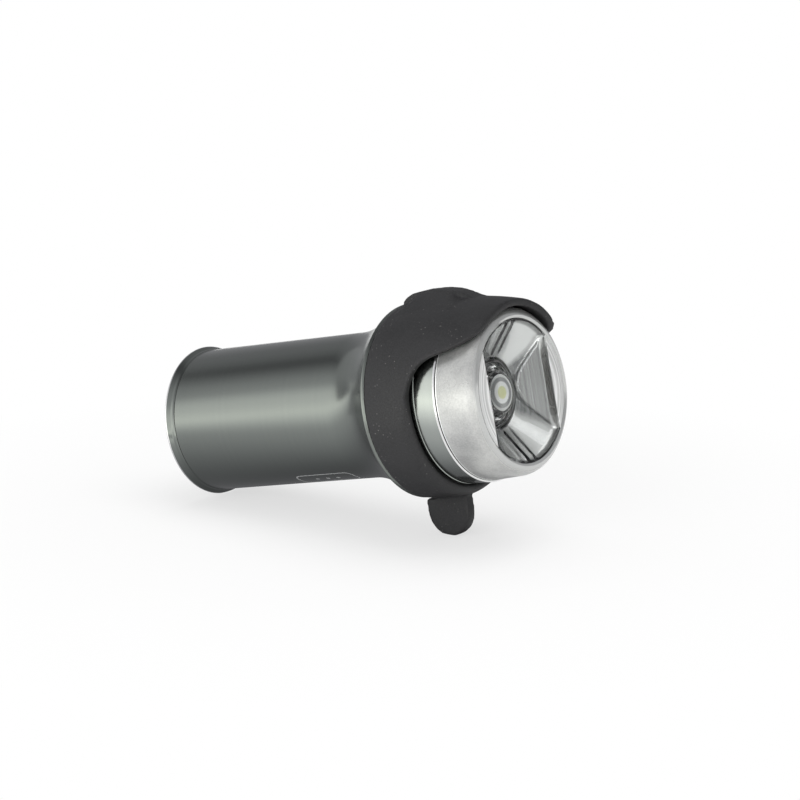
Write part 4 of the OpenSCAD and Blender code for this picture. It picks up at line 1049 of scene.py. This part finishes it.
def contact_rows(name, sizes, material):
    """A tree that sets two rows of rounded strips, above and below a tongue, in mm."""
    tree = bpy.data.node_groups.new(name, "GeometryNodeTree")
    for label, value in sizes.items():
        kind = "NodeSocketInt" if isinstance(value, int) else FLOAT
        tree.interface.new_socket(label, in_out="INPUT", socket_type=kind)
    tree.interface.new_socket("Geometry", in_out="OUTPUT", socket_type="NodeSocketGeometry")
    given = tree.nodes.new("NodeGroupInput").outputs

    def step(kind, inputs, **settings):
        return wire(tree, "GeometryNode" + kind, inputs, **settings).outputs[0]

    sheet = step("CurvePrimitiveQuadrilateral", {"Width": given["Width"], "Height": given["Length"]})
    corners = {"Curve": sheet, "Radius": given["Rounding"], "Count": 3, "Limit Radius": True}
    soft = step("FilletCurve", corners, mode="POLY")
    flat = step("FillCurve", {"Curve": soft}, mode="NGONS")
    thick = step("ExtrudeMesh", {"Mesh": flat, "Offset Scale": given["Thickness"], "Individual": False})
    strip = joined(tree, thick, step("FlipFaces", {"Mesh": flat}))
    closed = step("MergeByDistance", {"Geometry": strip, "Distance": 1e-4})
    steps = maths(tree, "SUBTRACT", given["Count"], 1.0)
    half = maths(tree, "MULTIPLY", maths(tree, "MULTIPLY", steps, given["Pitch"]), -0.5)
    start = wire(tree, "ShaderNodeCombineXYZ", {"X": half, "Z": given["Height"]}).outputs[0]
    pitch = wire(tree, "ShaderNodeCombineXYZ", {"X": given["Pitch"]}).outputs[0]
    line = step("MeshLine", {"Count": given["Count"], "Start Location": start, "Offset": pitch})
    row = step("InstanceOnPoints", {"Points": line, "Instance": closed})
    other = step("Transform", {"Geometry": row, "Rotation": (0.0, math.pi, 0.0)})
    real = step("RealizeInstances", {"Geometry": joined(tree, row, other)})
    done = step("SetMaterial", {"Geometry": real, "Material": material})
    tree.links.new(done, tree.nodes.new("NodeGroupOutput").inputs["Geometry"])
    return tree


print("contacts in a row:", CONTACT["Count"])

# %% Contacts on the tongue
bench = add("contact_bench", bpy.data.meshes.new("contact_bench"))
modifier = bench.modifiers.new("rows", "NODES")
modifier.node_group = contact_rows("contact_rows", CONTACT, inner["steel"])
for socket in modifier.node_group.interface.items_tree:
    if socket.in_out == "INPUT":
        modifier[socket.identifier] = CONTACT[socket.name]
contacts = plain_result("port_contacts", bench)
x, y, z = rows_of(contacts.vertices, "co").T
middle_s = TONGUE_S + CONTACT_START + CONTACT["Length"] / 2
moved(contacts, laid(np.stack([-x, z + PORT_Y, y + middle_s], 1)))
piece("port_contacts", tidy(contacts), inner["steel"], "light", "steel")

# %% [markdown]
# Polished metal shows the room more than itself. The light stands on a white floor in a white room. The
# floor and the room are lit at a plain level, but look white to the camera, in gloss and through the lens.

# %% Floor and room
FLOOR_HALF, FLOOR_NEAR, FLOOR_FAR, FLOOR_GLOW = 3, 0.045, 0.09, 0.64
WHITE, PAPER, ROOM_LIGHT = (1, 1, 1, 1), (0.9, 0.9, 0.9, 1), 0.55


def camera_or_gloss(tree):
    """1 for rays that see the background straight, in gloss or through the lens."""
    path = wire(tree, "ShaderNodeLightPath").outputs
    seen = maths(tree, "MAXIMUM", path["Is Camera Ray"], path["Is Glossy Ray"])
    return maths(tree, "MAXIMUM", seen, path["Is Transmission Ray"])


def plain_tree(owner, kind):
    """An empty tree for a material or the world, and its output."""
    owner.use_nodes = True
    owner.node_tree.nodes.clear()
    return owner.node_tree, owner.node_tree.nodes.new("ShaderNodeOutput" + kind)


def mixed(tree, share, first, second):
    """One shader for some rays, another for the rest."""
    inputs = {0: share, 1: first.outputs[0], 2: second.outputs[0]}
    return wire(tree, "ShaderNodeMixShader", inputs).outputs[0]


paper = bpy.data.materials.new("white_paper")
tree, surface = plain_tree(paper, "Material")
lit = wire(tree, "ShaderNodeBsdfDiffuse", {"Color": PAPER})
white = wire(tree, "ShaderNodeEmission", {"Color": WHITE, "Strength": 1.0})
spot = wire(tree, "ShaderNodeVectorMath", {0: place(tree)}, operation="LENGTH").outputs["Value"]
fade = spread(tree, spot, FLOOR_NEAR, FLOOR_FAR, FLOOR_GLOW, 1.0)
seen = maths(tree, "MULTIPLY", fade, camera_or_gloss(tree))
feed(surface, {"Surface": mixed(tree, seen, lit, white)})
corners = [(x * FLOOR_HALF, y * FLOOR_HALF, 0) for x, y in ((-1, -1), (1, -1), (1, 1), (-1, 1))]
floor = add("floor", mesh_of("floor", corners, [(0, 1, 2, 3)]))
floor.data.materials.append(paper)

scene.world = bpy.data.worlds.new("white_room")
tree, surface = plain_tree(scene.world, "World")
dim = wire(tree, "ShaderNodeBackground", {"Color": WHITE, "Strength": ROOM_LIGHT})
bright = wire(tree, "ShaderNodeBackground", {"Color": WHITE, "Strength": 1.0})
feed(surface, {"Surface": mixed(tree, camera_or_gloss(tree), dim, bright)})
print("floor of", 2 * FLOOR_HALF, "m in a white room")

# %% [markdown]
# To shape the metal we hang what a photographer would: a curved screen over the light, dark overhead and
# bright at the near side, a greyer one behind it, and two cards on the floor. They only show in gloss, so
# the picture stays white. Each has a row of (place, brightness) steps that was tuned until the barrel's
# bands came out right.

# %% Screens for the gloss
SCREEN_R, SCREEN_SPLIT, SCREEN_FRONT, SCREEN_REAR, SCREEN_STEPS = 0.55, -0.95, 1.6, -8.0, 61
SCREEN_LIGHT = [(-95, 0.33), (-78, 0.36), (-49, 0.34), (-33, 0.38), (-16, 0.33), (-4, 0.2), (4, 0.2),
                (18, 0.42), (33, 0.7), (50, 0.92), (58, 1.3), (66, 1.62), (78, 1.75), (90, 2.1)]
REAR_SCREEN_LIGHT = [(-95, 0.5), (-10, 0.6), (30, 0.62), (60, 0.45), (90, 0.4)]
BLUE, BLUE_FALL = 1.06, 0.05


def gloss_card(name, points, faces, position, levels):
    """A card that only shows in gloss; levels are (place, brightness) along a position in the shader."""
    material = bpy.data.materials.new(name)
    tree, surface = plain_tree(material, "Material")
    first, last = levels[0][0], levels[-1][0]
    ramp = wire(tree, "ShaderNodeValToRGB", {0: spread(tree, position(tree), first, last)})
    while len(ramp.color_ramp.elements) < len(levels):
        ramp.color_ramp.elements.new(0.5)
    for element, (where, level) in zip(ramp.color_ramp.elements, levels):
        element.position = (where - first) / (last - first)
        element.color = (level, level, level * (BLUE - BLUE_FALL * level), 1)
    glow = wire(tree, "ShaderNodeEmission", {"Color": ramp.outputs[0], "Strength": 1.0})
    feed(surface, {"Surface": glow.outputs[0]})
    card = add(name, mesh_of(name, points, faces))
    card.data.materials.append(material)
    for ray in ("camera", "diffuse", "transmission", "shadow", "volume_scatter"):
        setattr(card, "visible_" + ray, False)


def way_to_near(tree):
    """Metres from the light towards the near side."""
    parts = wire(tree, "ShaderNodeSeparateXYZ", {0: place(tree)}).outputs
    return maths(tree, "MULTIPLY", parts["Y"], -1.0)


def turn_on_screen(tree):
    """Degrees round the X axis: 0 overhead, 90 at the near side."""
    parts = wire(tree, "ShaderNodeSeparateXYZ", {0: place(tree)}).outputs
    return maths(tree, "MULTIPLY", maths(tree, "ARCTAN2", way_to_near(tree), parts["Z"]), 180 / math.pi)


def screen(name, first, last, levels):
    """A curved screen over the light, from one place along X to another."""
    steps = np.radians(np.linspace(levels[0][0], levels[-1][0], SCREEN_STEPS))
    rim = [(x, -SCREEN_R * math.sin(a), SCREEN_R * math.cos(a)) for x in (first, last) for a in steps]
    faces = [(k, k + 1, SCREEN_STEPS + k + 1, SCREEN_STEPS + k) for k in range(SCREEN_STEPS - 1)]
    gloss_card(name, rim, faces, turn_on_screen, levels)


screen("screen", SCREEN_SPLIT, SCREEN_FRONT, SCREEN_LIGHT)
screen("rear_screen", SCREEN_REAR, SCREEN_SPLIT, REAR_SCREEN_LIGHT)
print("for the gloss: two screens")

# %% Cards on the floor
CARD_Z, CARD_FAR, CARD_NEAR, CARD_FRONT = 0.0002, -0.04, 0.55, 0.024
CARD_SPLIT, CARD_REAR, CARD_UNDER = 0.03, -0.055, 0.0195
REAR_CARD_FAR, REAR_CARD_BACK, FLOOR_BACK = -0.05, -0.45, -3
# Near the light the floor card's levels fall low, and the rear card behind it stays dim: painted shade of the
# floor there, as gloss shows it.
CARD_LIGHT = [(CARD_FAR, 0.16), (-0.002, 0.17), (0.003, 0.19), (0.007, 0.27), (0.011, 0.42), (0.017, 0.63),
              (0.024, 0.8), (0.034, 0.92), (0.058, 1.45), (0.1, 1.9), (0.2, 2.1), (CARD_NEAR, 2.1)]
REAR_CARD_LIGHT = [(REAR_CARD_FAR, 0.3), (0.0, 0.34), (CARD_SPLIT, 0.5)]


def floor_card(name, height, levels, *sheets):
    """Sheets on the floor; each is its places along X and its places towards the near side."""
    points = [(x, -near, height) for along_x, towards in sheets for near in towards for x in along_x]
    gloss_card(name, points, [(0, 1, 3, 2), (4, 5, 7, 6)], way_to_near, levels)


floor_card("floor_card", CARD_Z, CARD_LIGHT, ((SCREEN_SPLIT, CARD_FRONT), (CARD_NEAR, CARD_SPLIT)),
           ((CARD_REAR, CARD_UNDER), (CARD_SPLIT, CARD_FAR)))
floor_card("rear_card", 2 * CARD_Z, REAR_CARD_LIGHT,
           ((REAR_CARD_BACK, CARD_REAR), (CARD_SPLIT, REAR_CARD_FAR)),
           ((FLOOR_BACK, SCREEN_SPLIT), (CARD_NEAR, -CARD_NEAR)))
print("for the gloss: two floor cards")

# %% [markdown]
# Two soft lamps do the rest. The one overhead gives the shadow under the light, the other fills the near
# side. Neither shows in gloss, because the screens do that better.

# %% Lamps


def soft_lamp(name, location, target, size, energy):
    """An area lamp that doesn't show in gloss."""
    lamp = add(name, bpy.data.lights.new(name, "AREA"))
    lamp.data.shape = "RECTANGLE"
    lamp.data.size, lamp.data.size_y = size
    lamp.data.energy = energy
    lamp.visible_glossy = False
    look(lamp, location, Vector(target) - Vector(location))


soft_lamp("overhead", (0.05, 0.1, 0.6), (0, 0, 0), (0.7, 0.5), 2.0)
soft_lamp("near_side", (0.05, -0.55, 0.16), (0.02, 0, 0.02), (0.5, 0.3), 1.6)
print("lamps:", len(bpy.data.lights))
